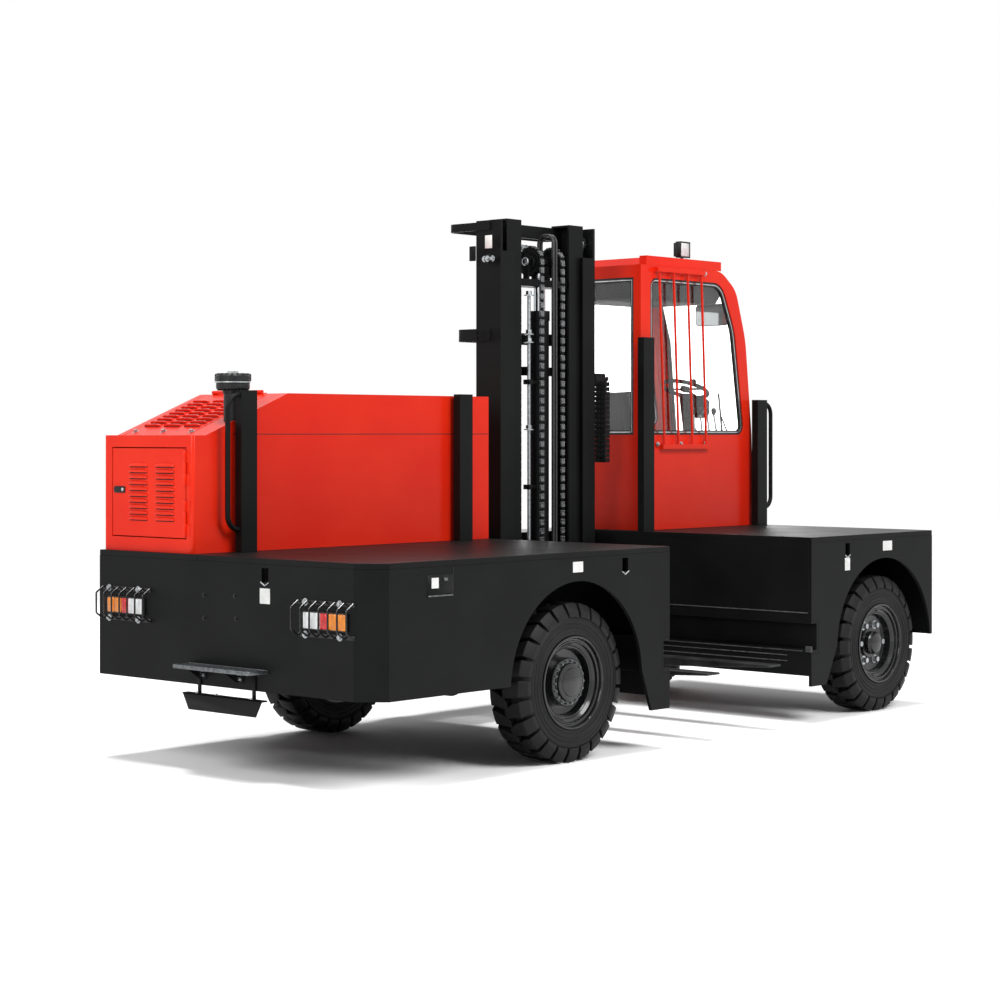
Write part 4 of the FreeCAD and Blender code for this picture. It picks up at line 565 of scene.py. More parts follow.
# the grating's bars and teeth are set out by a tree, along both ways of the tread
grid_tree = bpy.data.node_groups.new("grating", "GeometryNodeTree")
socket(grid_tree, "Places", "NodeSocketGeometry")
for title, size in (("Bar width", 0.004), ("Bar depth", 0.020), ("Bar length", 0.1), ("Pitch", 0.022)):
    socket(grid_tree, title, "NodeSocketFloat", size)
socket(grid_tree, "Count", "NodeSocketInt", 20)
socket(grid_tree, "Finish", "NodeSocketMaterial")
grid_tree.interface.new_socket("Grating", in_out="OUTPUT", socket_type="NodeSocketGeometry")
given = add(grid_tree, "NodeGroupInput").outputs
size = add(grid_tree, "ShaderNodeCombineXYZ", {"X": given["Bar width"], "Y": given["Bar length"],
                                               "Z": given["Bar depth"]})
bar = add(grid_tree, "GeometryNodeMeshCube", {"Size": size.outputs[0]})
pitch = add(grid_tree, "ShaderNodeCombineXYZ", {"X": given["Pitch"]})
row = add(grid_tree, "GeometryNodeMeshLine", {"Count": given["Count"], "Offset": pitch.outputs[0]})
placed = add(grid_tree, "GeometryNodeInstanceOnPoints", {"Points": row.outputs[0],
                                                         "Instance": bar.outputs[0]})
real = add(grid_tree, "GeometryNodeRealizeInstances", {0: placed.outputs[0]})
painted = add(grid_tree, "GeometryNodeSetMaterial", {"Geometry": real.outputs[0],
                                                     "Material": given["Finish"]})
out = add(grid_tree, "NodeGroupOutput")
grid_tree.links.new(painted.outputs[0], out.inputs[0])


def run_tree(name, tree, material, body, slot, place=(0, 0, 0), turn=(0, 0, 0), stands_for=(), smooth=0,
             **inputs):
    """A piece made by a tree of its own, turned and moved to its place in its mesh."""
    piece = bpy.data.objects.new(name, bpy.data.meshes.new(name))
    layer = piece.modifiers.new(tree.name, "NODES")
    layer.node_group = tree
    layer[identifier(tree, "Finish")] = material
    for title, value in inputs.items():
        layer[identifier(tree, title.replace("_", " "))] = value
    flatten(piece)
    piece.data.transform(Matrix.Translation(place) @ Euler(turn).to_matrix().to_4x4())
    if smooth:
        piece.data.shade_smooth()
        piece.data.set_sharp_from_angle(angle=math.radians(smooth))
    if stands_for:
        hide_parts(*stands_for)
    return settle(piece, body, material)


TREAD_LENGTH = step_high.x - step_low.x - 2 * STEP_TAPER - 0.008
TREAD_DEPTH, MESH_PITCH, ROWS = step_high.y - step_low.y - 0.006, 0.0195, 5
tread_start = STEP_MIDDLE - TREAD_LENGTH / 2
run_tree("grating_bars", grid_tree, tread_steel, "root", "bare_steel",
         (tread_start, (step_low.y + step_high.y) / 2, UPPER_TOP - 0.010), Bar_length=TREAD_DEPTH,
         Bar_depth=0.016,
         Bar_width=0.003, Count=int(TREAD_LENGTH / MESH_PITCH) + 1, Pitch=MESH_PITCH)
ROW_PITCH = TREAD_DEPTH / (ROWS + 1)
run_tree("grating_cross_bars", grid_tree, tread_steel, "root", "bare_steel",
         (STEP_MIDDLE, step_low.y + 0.003 + ROW_PITCH, UPPER_TOP - 0.008), (0, 0, math.pi / 2),
         Bar_width=0.003,
         Bar_depth=0.012, Bar_length=TREAD_LENGTH, Count=ROWS, Pitch=ROW_PITCH)
TEETH = [((tread_start + (number + 0.5 * (row % 2)) * MESH_PITCH, step_low.y + 0.003 + ROW_PITCH * row,
           UPPER_TOP - 0.004),
          (0, 0, 1)) for number in range(1, int(TREAD_LENGTH / MESH_PITCH)) for row in range(1, ROWS + 1)]
bolts("grating_teeth", TEETH, tread_steel, "root", width=0.010, height=0.004)

# ---------------------------------------------------------------- hood
# One-piece sheet hood over the engine. Its rear door has two columns of pressed louvres and a sunk paddle
# latch; the sloped lid has three. A louvre is a slit with its upper lip pressed out into a shallow scoop.

louvre_tree = bpy.data.node_groups.new("louvres", "GeometryNodeTree")
for title, size in (("Length", 0.12), ("Height", 0.020), ("Rise", 0.010), ("Pitch", 0.028)):
    socket(louvre_tree, title, "NodeSocketFloat", size)
socket(louvre_tree, "Count", "NodeSocketInt", 10)
socket(louvre_tree, "Finish", "NodeSocketMaterial")
louvre_tree.interface.new_socket("Louvres", in_out="OUTPUT", socket_type="NodeSocketGeometry")
given = add(louvre_tree, "NodeGroupInput").outputs
# a quarter of a squashed dome with blunt ends: what lies below the open lower lip is moved up to it
dome = add(louvre_tree, "GeometryNodeMeshUVSphere", {"Segments": 24, "Rings": 12, "Radius": 1.0}).outputs[0]
place = add(louvre_tree, "GeometryNodeInputPosition").outputs[0]
split = add(louvre_tree, "ShaderNodeSeparateXYZ", {0: place}).outputs
far = add(louvre_tree, "ShaderNodeMath", {0: split["X"]}, operation="ABSOLUTE").outputs[0]
full = add(louvre_tree, "ShaderNodeMath", {0: far, 1: 0.4}, operation="POWER").outputs[0]
way = add(louvre_tree, "ShaderNodeMath", {0: split["X"]}, operation="SIGN").outputs[0]
x_full = add(louvre_tree, "ShaderNodeMath", {0: full, 1: way}, operation="MULTIPLY").outputs[0]
y_up = add(louvre_tree, "ShaderNodeMath", {0: split["Y"], 1: 0.0}, operation="MAXIMUM").outputs[0]
z_up = add(louvre_tree, "ShaderNodeMath", {0: split["Z"], 1: 0.0}, operation="MAXIMUM").outputs[0]
held = add(louvre_tree, "ShaderNodeCombineXYZ", {"X": x_full, "Y": y_up, "Z": z_up}).outputs[0]
scoop = add(louvre_tree, "GeometryNodeSetPosition", {"Geometry": dome, "Position": held}).outputs[0]
half = add(louvre_tree, "ShaderNodeMath", {0: given["Length"], 1: 0.5}, operation="MULTIPLY").outputs[0]
spans = add(louvre_tree, "ShaderNodeCombineXYZ", {"X": half, "Y": given["Height"],
                                                  "Z": given["Rise"]}).outputs[0]
sized = add(louvre_tree, "GeometryNodeTransform", {"Geometry": scoop, "Scale": spans}).outputs[0]
step = add(louvre_tree, "ShaderNodeCombineXYZ", {"Y": given["Pitch"]}).outputs[0]
line = add(louvre_tree, "GeometryNodeMeshLine", {"Count": given["Count"], "Offset": step}).outputs[0]
placed = add(louvre_tree, "GeometryNodeInstanceOnPoints", {"Points": line, "Instance": sized})
real = add(louvre_tree, "GeometryNodeRealizeInstances", {0: placed.outputs[0]})
painted = add(louvre_tree, "GeometryNodeSetMaterial", {"Geometry": real.outputs[0],
                                                       "Material": given["Finish"]})
out = add(louvre_tree, "NodeGroupOutput")
louvre_tree.links.new(painted.outputs[0], out.inputs[0])

# painted shade for a narrow gap: flat black without shine, laid where the gap's shade falls, so a seam reads
# as depth
gap_painted_shade = surface("dark slit", "050505", "0A0A0A", 0.05, (0.7, 0.8))


def louvres(name, body, place, turn, columns, spacing, length, height, pitch, count, rise=0.010):
    """Columns of louvres, each with a flat black strip under its lip as painted shade for the slit."""
    made = []
    for column in range(columns):
        shift = Euler(turn).to_matrix() @ Vector(((column - (columns - 1) / 2) * spacing, 0, 0))
        made.append(run_tree(f"{name}_{column}", louvre_tree, red_enamel, body, "red_paint",
                             Vector(place) + shift, turn,
                             smooth=50, Length=length, Height=height, Rise=rise, Pitch=pitch, Count=count))
        slit_shades = []
        for number in range(count):
            slit = block((-length * 0.46, -height * 0.30, 0.0002), (length * 0.46, 0.0, 0.0012))
            spot = Euler(turn).to_matrix() @ Vector((0, number * pitch, 0)) + Vector(place) + shift
            points = [Euler(turn).to_matrix() @ Vector(point) + spot for point in slit[0]]
            slit_shades.append((points, slit[1]))
        make(f"{name}_slits_{column}", slit_shades, gap_painted_shade, body, smooth=0)
    return made


door_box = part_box("access_door")
DOOR_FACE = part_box("hood_shell")[1].y - 0.0203
DOOR_LOW = door_box[0].z
louvres("door_louvre", "rear_access", (0.643, DOOR_FACE, DOOR_LOW + 0.088), (math.pi / 2, 0, math.pi),
        2, 0.218, 0.158, 0.019, 0.0315, 10, rise=0.015)

# ---------------------------------------------------------------- tyres
# Solid rubber tyres moulded with 24 chunky shoulder lugs on each side, staggered, that meet in the middle.
# Three thin rings are moulded into the sidewall, and the bead swells against the rim.

ring_tree = bpy.data.node_groups.new("ring of copies", "GeometryNodeTree")
socket(ring_tree, "Shape", "NodeSocketGeometry")
socket(ring_tree, "Count", "NodeSocketInt", 24)
socket(ring_tree, "Finish", "NodeSocketMaterial")
ring_tree.interface.new_socket("Ring", in_out="OUTPUT", socket_type="NodeSocketGeometry")
given = add(ring_tree, "NodeGroupInput").outputs
spots = add(ring_tree, "GeometryNodeMeshLine", {"Count": given["Count"], "Offset": (0, 0, 0)}).outputs[0]
share = add(ring_tree, "ShaderNodeMath", {0: math.tau, 1: given["Count"]}, operation="DIVIDE").outputs[0]
number = add(ring_tree, "GeometryNodeInputIndex").outputs[0]
angle = add(ring_tree, "ShaderNodeMath", {0: number, 1: share}, operation="MULTIPLY").outputs[0]
turn = add(ring_tree, "ShaderNodeCombineXYZ", {"Z": angle}).outputs[0]
placed = add(ring_tree, "GeometryNodeInstanceOnPoints", {"Points": spots, "Instance": given["Shape"],
                                                         "Rotation": turn})
real = add(ring_tree, "GeometryNodeRealizeInstances", {0: placed.outputs[0]})
painted = add(ring_tree, "GeometryNodeSetMaterial", {"Geometry": real.outputs[0],
                                                     "Material": given["Finish"]})
out = add(ring_tree, "NodeGroupOutput")
ring_tree.links.new(painted.outputs[0], out.inputs[0])


def ring_of(shapes, count, edge):
    """Shapes repeated round Z, each with its edges rounded, as one shape."""
    mesh = bpy.data.meshes.new("ring_shape")
    points, faces = join(*shapes)
    mesh.from_pydata(points, [], faces)
    solid = bmesh.new()
    solid.from_mesh(mesh)
    bmesh.ops.recalc_face_normals(solid, faces=solid.faces)
    solid.to_mesh(mesh)
    solid.free()
    piece = bpy.data.objects.new("ring_shape", mesh)
    if edge:
        rounding = piece.modifiers.new("rounding", "BEVEL")
        rounding.width = edge
        rounding.segments = 2
        rounding.limit_method = "ANGLE"
        rounding.angle_limit = math.radians(25)
    copies = piece.modifiers.new("copies", "NODES")
    copies.node_group = ring_tree
    copies[identifier(ring_tree, "Count")] = count
    flatten(piece)
    points = [point.co.copy() for point in piece.data.vertices]
    faces = [list(face.vertices) for face in piece.data.polygons]
    bpy.data.objects.remove(piece)
    return points, faces


# moulded rubber: almost black, matt on the walls, with a dull shine where the mould was polished
tyre_rubber = surface("moulded tyre rubber", "0B0B0C", "161617", 0.09, (0.42, 0.62), relief=0.35, grain=0.003,
                      shine=0.22)
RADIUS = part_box("tyre_rear_left")[1].z / 2
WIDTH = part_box("tyre_rear_left")[1].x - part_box("tyre_rear_left")[0].x
EDGE = WIDTH / 2
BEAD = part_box("rim_rear_left")[1].z - RADIUS
LUGS = 24
RING_HEIGHT = 0.0030
wall = [(BEAD, 0.0), (BEAD, EDGE - 0.012), (BEAD + 0.006, EDGE - 0.006), (BEAD + 0.016, EDGE - 0.004),
        (BEAD + 0.026, EDGE - 0.008)]
for ring in (0.290, 0.312, 0.338):
    wall += [(ring - 0.005, EDGE - RING_HEIGHT - 0.001), (ring - 0.002, EDGE - 0.0005),
             (ring + 0.002, EDGE - 0.0005),
             (ring + 0.005, EDGE - RING_HEIGHT - 0.001)]
wall += [(0.352, EDGE - 0.008), (0.372, EDGE - 0.018), (RADIUS - 0.040, EDGE - 0.036), (RADIUS - 0.034, 0.0)]
carcass = lathe(wall + [(radius, -offset) for radius, offset in wall[-2:0:-1]], 96)


def lug(side):
    """One lug: its shoulder chamfer, its crown, and its sweep round the tyre towards the middle."""
    pitch = math.tau / LUGS
    start = 0 if side > 0 else pitch / 2
    stations = [  # place across the tyre, top and base radius, sweep and half width as shares of the pitch
        (EDGE - 0.001, 0.372, 0.345, 0.00, 0.41), (EDGE - 0.026, RADIUS - 0.002, 0.372, 0.02, 0.40),
        (EDGE - 0.070, RADIUS, 0.385, 0.10, 0.36), (EDGE - 0.112, RADIUS, 0.385, 0.24, 0.28),
        (EDGE - 0.137, RADIUS - 0.001, 0.385, 0.34, 0.20)]
    across = 5
    points, faces = [], []
    for place, top, base, sweep, half in stations:
        for radius in (top, base):
            for step in range(across):
                angle = start + pitch * (sweep + half * (2 * step / (across - 1) - 1))
                points.append((radius * math.cos(angle), radius * math.sin(angle), side * place))
    row = 2 * across
    for number in range(len(stations) - 1):
        here, there = number * row, (number + 1) * row
        for step in range(across - 1):
            faces += [(here + step, here + step + 1, there + step + 1, there + step),
                      (here + across + step, there + across + step, there + across + step + 1,
                       here + across + step + 1)]
        faces += [(here, there, there + across, here + across),
                  (here + across - 1, here + row - 1, there + row - 1, there + across - 1)]
    last = (len(stations) - 1) * row
    for end in (0, last):
        faces += [(end + step, end + step + 1, end + across + step + 1,
                   end + across + step) for step in range(across - 1)]
    return points, faces


tread = ring_of([lug(1), lug(-1)], LUGS, 0.004)
AXLES = {"rear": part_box("tyre_rear_left"), "front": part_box("tyre_front_left")}
AXLES = {end: (low.y + high.y) / 2 for end, (low, high) in AXLES.items()}
SIDES = {"left": 1, "right": -1}
TYRE_X = (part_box("tyre_rear_left")[0].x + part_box("tyre_rear_left")[1].x) / 2
for end, axle in AXLES.items():
    for side_name, side in SIDES.items():
        middle, outwards = (side * TYRE_X, axle, RADIUS), (side, 0, 0)
        make(f"tyre_{end}_{side_name}_rubber", [turned_to(carcass, middle, outwards),
                                                turned_to(tread, middle, outwards)],
             tyre_rubber, f"wheel_{end}_{side_name}", smooth=28,
             stands_for=(f"tyre_{end}_{side_name}",))

# ---------------------------------------------------------------- wheels
# Pressed steel rims with a rolled flange and a lock ring, in gloss black. The driven rear hubs are
# planetary, with a ring of small bolts and a cap; the front ones have six bright wheel nuts.

rim_enamel = surface("gloss black enamel", "0C0D0E", "141516", 0.12, (0.18, 0.32), relief=0.05, grain=0.004,
                     coat=0.5, shine=0.3)
DISC = EDGE - 0.090
WELL = [(BEAD, -EDGE + 0.004), (BEAD, EDGE - 0.002), (BEAD - 0.004, EDGE), (BEAD - 0.010, EDGE - 0.001),
        (BEAD - 0.014, EDGE - 0.008), (BEAD - 0.016, EDGE - 0.020), (BEAD - 0.024, EDGE - 0.022),
        (BEAD - 0.027, EDGE - 0.018), (BEAD - 0.032, EDGE - 0.020), (BEAD - 0.036, EDGE - 0.034),
        (0.196, EDGE - 0.046), (0.190, EDGE - 0.044), (0.184, EDGE - 0.048), (0.180, EDGE - 0.062),
        (0.172, DISC + 0.004), (0.160, DISC)]
BACK = [(0.040, DISC - 0.012), (0.178, DISC - 0.012), (0.190, DISC), (BEAD - 0.018, EDGE - 0.060),
        (BEAD - 0.014, -EDGE + 0.020), (BEAD - 0.010, -EDGE + 0.004)]
HUBS = {
    "rear": [(0.130, DISC), (0.130, EDGE - 0.045), (0.126, EDGE - 0.040), (0.103, EDGE - 0.040),
             (0.100, EDGE - 0.036),
             (0.098, EDGE - 0.026), (0.090, EDGE - 0.022), (0.076, EDGE - 0.022), (0.073, EDGE - 0.017),
             (0.068, EDGE - 0.015),
             (0, EDGE - 0.015)],
    "front": [(0.098, DISC), (0.094, DISC + 0.012), (0.074, DISC + 0.014), (0.072, DISC + 0.040),
              (0.066, DISC + 0.046),
              (0.060, DISC + 0.060), (0.040, DISC + 0.066), (0, DISC + 0.068)],
}
NUTS = {"rear": (18, 0.114, EDGE - 0.040, 0.011, 0.008), "front": (6, 0.124, DISC, 0.030, 0.024)}
for end, axle in AXLES.items():
    for side_name, side in SIDES.items():
        middle, outwards = Vector((side * TYRE_X, axle, RADIUS)), (side, 0, 0)
        body = f"wheel_{end}_{side_name}"
        rim = lathe([(0, DISC - 0.012)] + BACK + WELL + HUBS[end], 72)
        make(f"rim_{end}_{side_name}_dish", [turned_to(rim, middle, outwards)], rim_enamel, body,
             smooth=32, stands_for=(f"rim_{end}_{side_name}",))
        count, circle, level, width, height = NUTS[end]
        places = [(middle + Vector((side * level, circle * math.cos(math.tau * number / count),
                                    circle * math.sin(math.tau * number / count))),
                   outwards) for number in range(count)]
        bolts(f"wheel_nuts_{end}_{side_name}", places, zinc if end == "front" else tread_steel, body,
              width=width, height=height)

# ---------------------------------------------------------------- mast
# Rolled channel uprights, welded with ties and bows, in the same black enamel. The inner pair runs on
# steel rollers inside the outer pair and is pushed up by one cylinder through a crosshead.

for node, body in (("outer_mast", "mast"), ("inner_mast", "inner_stage"), ("lift_barrel", "mast"),
                   ("reach_carriage", "reach"), ("fork_carriage", "fork_stage"), ("tilt_barrels", "reach")):
    dressed(node, 0.0018, black_enamel, body)

# hard chrome: mirror bright, with the faint lengthwise lines of its last polish
hard_chrome = surface("hard chrome", "C8CBCE", "E2E4E6", 0.05, (0.08, 0.16), metallic=1.0)
# forged steel: grey scale, rubbed bright along the blades where loads slide
forged_steel = surface("forged fork steel", "1C1D1E", "3A3B3C", 0.12, (0.35, 0.6), metallic=0.6, relief=0.2,
                       grain=0.006)
# turned faces of rollers and pins: pale grey with a soft streak
machined_steel = surface("machined steel", "7E8284", "B4B8BA", 0.03, (0.2, 0.35), metallic=1.0)
paint(hard_chrome, "lift_rod")
dressed("forks", 0.004, forged_steel, "fork_stage")
dressed("tilt_rods", 0.0015, hard_chrome, "tilt_pair")

mast_low, mast_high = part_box("outer_mast")
inner_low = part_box("inner_mast")[0]
chain_low, chain_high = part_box("lift_chains")
MAST_Y = (mast_low.y + mast_high.y) / 2
UPRIGHT_REAR = mast_high.y
SHEAVE_RADIUS, CHAIN_THICK, CHAIN_WIDTH, CHAIN_SIDE = 0.085, 0.016, 0.030, 0.084
SHEAVE_X, SHEAVE_Z = (chain_low.x + chain_high.x) / 2, 2.812

# the top guide rollers and the bright tyres that they run on
ROLLER_Z, ROLLER_X, ROLLER_RADIUS = mast_high.z - 0.100, 0.540, 0.060
rollers = []
for side in (1, -1):
    spot = (ROLLER_X, MAST_Y + side * (0.373 + 0.006), ROLLER_Z)
    rollers.append(turned_to(lathe([(0.020, 0), (0.020, 0.006), (0.028, 0.008), (0.048, 0.008),
                                    (0.052, 0.004),
                                    (ROLLER_RADIUS, 0.004), (ROLLER_RADIUS, 0.036), (0.020, 0.036)]), spot,
                             (0, side, 0)))
make("guide_roller_tyres", rollers, machined_steel, "mast", edge=0.001)

# what is bolted to the rear upright: a stop block, a round boss with two bolts, and a blank plate
plate_white = surface("blank white plate", "E9E9E6", "F6F6F4", 0.02, (0.35, 0.45))
make("mast_stop", [block((0.596, UPRIGHT_REAR, 2.800), (0.640, UPRIGHT_REAR + 0.014, 2.890)),
                   turned_to(lathe([(0, 0), (0.030, 0), (0.030, 0.010), (0.024, 0.013), (0, 0.013)]),
                             (0.489, UPRIGHT_REAR, 2.808), (0, 1, 0))], black_enamel, "mast",
     edge=0.002)
bolts("mast_boss_bolts", [((0.489 + shift, UPRIGHT_REAR + extra, 2.808), (0, 1, 0))
                          for shift, extra in ((-0.030, 0.003), (0.0, 0.014), (0.034, 0.003))], zinc, "mast",
      width=0.020, height=0.010)
make("mast_plate", [block((0.464, UPRIGHT_REAR, 2.872), (0.521, UPRIGHT_REAR + 0.0012, 2.951))],
     plate_white, "mast", edge=0.0004)
TOP_BOLTS = [((mast_low.x + 0.05 + 0.05 * column, UPRIGHT_REAR, level), (0, 1, 0))
             for level in (2.330, 2.365) for column in (0, 2)]
bolts("bow_bolts", TOP_BOLTS, black_enamel, "mast", width=0.018, height=0.008)

# ---------------------------------------------------------------- lift chains and sheaves
# Two leaf chains of punched steel plates on riveted pins run over turned sheaves on the crosshead.
# The plates are oiled steel; the outer links are a pale copy of it as painted highlight, so they show as
# bright bars against the dark inner links and pins.

oiled_steel = surface("oiled chain steel", "1B1B1C", "323334", 0.012, (0.30, 0.45), metallic=0.8)
# the outer links all along the chain: the same steel made pale as painted highlight, brighter than the rest
chain_painted_highlight = surface("rubbed chain plate", "8F9193", "C4C6C8", 0.012, (0.22, 0.34), metallic=0.9)
strung_tree = bpy.data.node_groups.new("strung along", "GeometryNodeTree")
socket(strung_tree, "Route", "NodeSocketGeometry")
socket(strung_tree, "Link", "NodeSocketObject")
for title, number in (("Count", 100), ("Every", 2), ("First", 0)):
    socket(strung_tree, title, "NodeSocketInt", number)
socket(strung_tree, "Finish", "NodeSocketMaterial")
strung_tree.interface.new_socket("Chain", in_out="OUTPUT", socket_type="NodeSocketGeometry")
given = add(strung_tree, "NodeGroupInput").outputs
line = add(strung_tree, "GeometryNodeMeshToCurve", {0: given["Route"]}).outputs[0]
spaced = add(strung_tree, "GeometryNodeResampleCurve", {"Curve": line, "Count": given["Count"]}).outputs[0]
ahead = add(strung_tree, "GeometryNodeInputTangent").outputs[0]
turn = add(strung_tree, "FunctionNodeAlignRotationToVector", {"Vector": ahead}, axis="Z").outputs[0]
number = add(strung_tree, "GeometryNodeInputIndex").outputs[0]
left_over = add(strung_tree, "ShaderNodeMath", {0: number, 1: given["Every"]}, operation="MODULO").outputs[0]
chosen = add(strung_tree, "FunctionNodeCompare", {"A": left_over, "B": given["First"]}, operation="EQUAL")
shape = add(strung_tree, "GeometryNodeObjectInfo", {"Object": given["Link"]}).outputs["Geometry"]
placed = add(strung_tree, "GeometryNodeInstanceOnPoints",
             {"Points": spaced, "Selection": chosen.outputs[0], "Instance": shape, "Rotation": turn})
real = add(strung_tree, "GeometryNodeRealizeInstances", {0: placed.outputs[0]})
painted = add(strung_tree, "GeometryNodeSetMaterial", {"Geometry": real.outputs[0],
                                                       "Material": given["Finish"]})
out = add(strung_tree, "NodeGroupOutput")
strung_tree.links.new(painted.outputs[0], out.inputs[0])


def strung(route, shapes, pitch, every=1, first=0):
    """Copies of a shape strung at an even pitch along a route, as one shape."""
    link_mesh = bpy.data.meshes.new("link")
    points, faces = join(*shapes)
    link_mesh.from_pydata(points, [], faces)
    solid = bmesh.new()
    solid.from_mesh(link_mesh)
    bmesh.ops.recalc_face_normals(solid, faces=solid.faces)
    solid.to_mesh(link_mesh)
    solid.free()
    link = bpy.data.objects.new("link", link_mesh)
    SCENE.collection.objects.link(link)
    mesh = bpy.data.meshes.new("route")
    mesh.from_pydata(route, [(number, number + 1) for number in range(len(route) - 1)], [])
    length = sum((Vector(there) - Vector(here)).length for here, there in zip(route, route[1:]))
    piece = bpy.data.objects.new("strung", mesh)
    layer = piece.modifiers.new("strung", "NODES")
    layer.node_group = strung_tree
    for title, value in (("Link", link), ("Count", round(length / pitch) + 1), ("Every", every),
                         ("First", first)):
        layer[identifier(strung_tree, title)] = value
    flatten(piece)
    points = [point.co.copy() for point in piece.data.vertices]
    faces = [list(face.vertices) for face in piece.data.polygons]
    for used in (piece, link):
        bpy.data.objects.remove(used)
    return points, faces


def link_plate(length, width, thick, middle):
    """A chain plate with round ends and a slight waist, lying across Y."""
    half, round_part = length / 2, width / 2
    arc = [(round_part * math.cos(angle), half - round_part + round_part * math.sin(angle))
           for angle in (0.15, 0.75, 1.2, math.pi - 1.2, math.pi - 0.75, math.pi - 0.15)]
    waist = [(-width * 0.42, 0.0)]
    outline = arc + waist + [(-x, -z) for x, z in arc] + [(width * 0.42, 0.0)]
    return prism(outline, "y", middle - thick / 2, middle + thick / 2)


LINK_PITCH = 0.027
LINK = LINK_PITCH + CHAIN_THICK * 0.9
pin = turned_to(lathe([(0, 0), (0.0045, 0), (0.0045, CHAIN_WIDTH), (0, CHAIN_WIDTH)], 8),
                (0, -CHAIN_WIDTH / 2, LINK_PITCH / 2), (0, 1, 0))
outer_link = [link_plate(LINK, CHAIN_THICK, 0.003, place) for place in (-0.0120, -0.0040, 0.0040,
                                                                        0.0120)] + [pin]
inner_link = [link_plate(LINK, CHAIN_THICK, 0.003, place) for place in (-0.0080, 0.0, 0.0080)] + [pin]
links, sheaves, hubs = [], [], []
for side in (1, -1):
    strand = MAST_Y + side * (CHAIN_SIDE + CHAIN_WIDTH / 2)
    reach = SHEAVE_RADIUS + CHAIN_THICK / 2
    route = [(SHEAVE_X - reach, strand, chain_low.z + 0.01)]
    route += [(SHEAVE_X - reach * math.cos(math.pi * step / 24), strand,
               SHEAVE_Z + reach * math.sin(math.pi * step / 24))
              for step in range(25)]
    route += [(SHEAVE_X + reach, strand, chain_low.z + 0.01)]
    links += [strung(route, outer_link, LINK_PITCH, 2, 0), strung(route, inner_link, LINK_PITCH, 2, 1)]
    flange = SHEAVE_RADIUS + 0.006
    profile = [(0.022, 0.0), (0.036, 0.0), (0.040, 0.005), (0.066, 0.007), (0.070, 0.001), (flange, 0.001),
               (flange, 0.005), (SHEAVE_RADIUS - 0.001, 0.006), (SHEAVE_RADIUS - 0.001, CHAIN_WIDTH - 0.006),
               (flange, CHAIN_WIDTH - 0.005), (flange, CHAIN_WIDTH - 0.001), (0.070, CHAIN_WIDTH - 0.001),
               (0.066, CHAIN_WIDTH - 0.007), (0.040, CHAIN_WIDTH - 0.005), (0.036, CHAIN_WIDTH),
               (0.022, CHAIN_WIDTH)]
    start = (SHEAVE_X, strand - CHAIN_WIDTH / 2, SHEAVE_Z)
    sheaves.append(turned_to(lathe(profile, 48), start, (0, 1, 0)))
    end = (SHEAVE_X, MAST_Y + side * 0.146, SHEAVE_Z)
    hubs.append(turned_to(lathe([(0, -0.002), (0.026, -0.002), (0.026, 0.004), (0.020, 0.008), (0.010, 0.006),
                                 (0, 0.006)]),
                          end, (0, side, 0)))
make("chain_outer_links", links[::2], chain_painted_highlight, "inner_stage", smooth=30,
     stands_for=("lift_chains",))
make("chain_inner_links", links[1::2], oiled_steel, "inner_stage", smooth=30)
make("chain_sheaves", sheaves, black_enamel, "inner_stage", edge=0.001, smooth=30)
make("sheave_hubs", hubs, zinc, "inner_stage", edge=0.0008)
bolts("crosshead_bolts", [((inner_low.x + 0.150, MAST_Y + place, 2.905), (-1, 0, 0)) for place in (0.020,
                                                                                                   0.052)],
      zinc, "inner_stage", width=0.026, height=0.012)

# ---------------------------------------------------------------- hydraulic lines
# Cold-drawn steel pipe feeds the cylinder; two sleeved lines stand in front of it, bend over the top of
# the inner mast and end in hexagon fittings on the crosshead. All are clamped in pairs.

galvanised = surface("galvanised pipe", "8B8F92", "B9BDC0", 0.02, (0.25, 0.4), metallic=1.0)
# sleeve over the lines: dull black with a faint moulded grain
line_rubber = surface("black line sleeve", "0D0D0E", "191A1B", 0.04, (0.35, 0.5), relief=0.3, grain=0.002)
FEED = (0.470, MAST_Y + 0.1535)
make("feed_pipe", [tube([(*FEED, 0.42), (*FEED, 2.600)], 0.011, 14)], galvanised, "mast")
fittings = []
for level in (0.60, 1.77, 2.31, 2.36, 2.60):
    fittings.append(((*FEED, level), (0, 0, 1)))
bolts("feed_fittings", fittings, galvanised, "mast", width=0.034, height=0.022)
clamps = [block((FEED[0] - 0.018, FEED[1] - 0.018, level), (0.505, FEED[1] + 0.014, level + 0.030))
          for level in (0.80, 1.40, 2.05)]
clamps += [block((0.488, MAST_Y + 0.0455, level + 0.004),
                 (0.506, FEED[1] + 0.012, level + 0.026)) for level in (0.80, 1.40, 2.05)]
make("pipe_clamps", clamps, black_enamel, "mast", edge=0.002)
SLEEVE_X, SLEEVE_BACK = 0.434, 0.556
sleeves, ends = [], []
for place in (MAST_Y - 0.0365, MAST_Y - 0.0625):
    route = rounded([(SLEEVE_X, place, 0.98), (SLEEVE_X, place, 2.985), (SLEEVE_BACK, place, 2.985),
                     (SLEEVE_BACK, place, 2.720)], 0.060, 10)
    sleeves.append(tube(route, 0.010, 14))
    ends += [((SLEEVE_BACK, place, 2.712), (0, 0, 1)), ((SLEEVE_X, place, 0.965), (0, 0, 1))]
make("sleeved_lines", sleeves, line_rubber, "inner_stage")
bolts("line_fittings", ends, zinc, "inner_stage", width=0.026, height=0.030)

# ---------------------------------------------------------------- energy chain
# A moulded plastic energy chain carries the lines beside the front upright. Each link is two side plates
# joined by a slotted crossbar on each face.

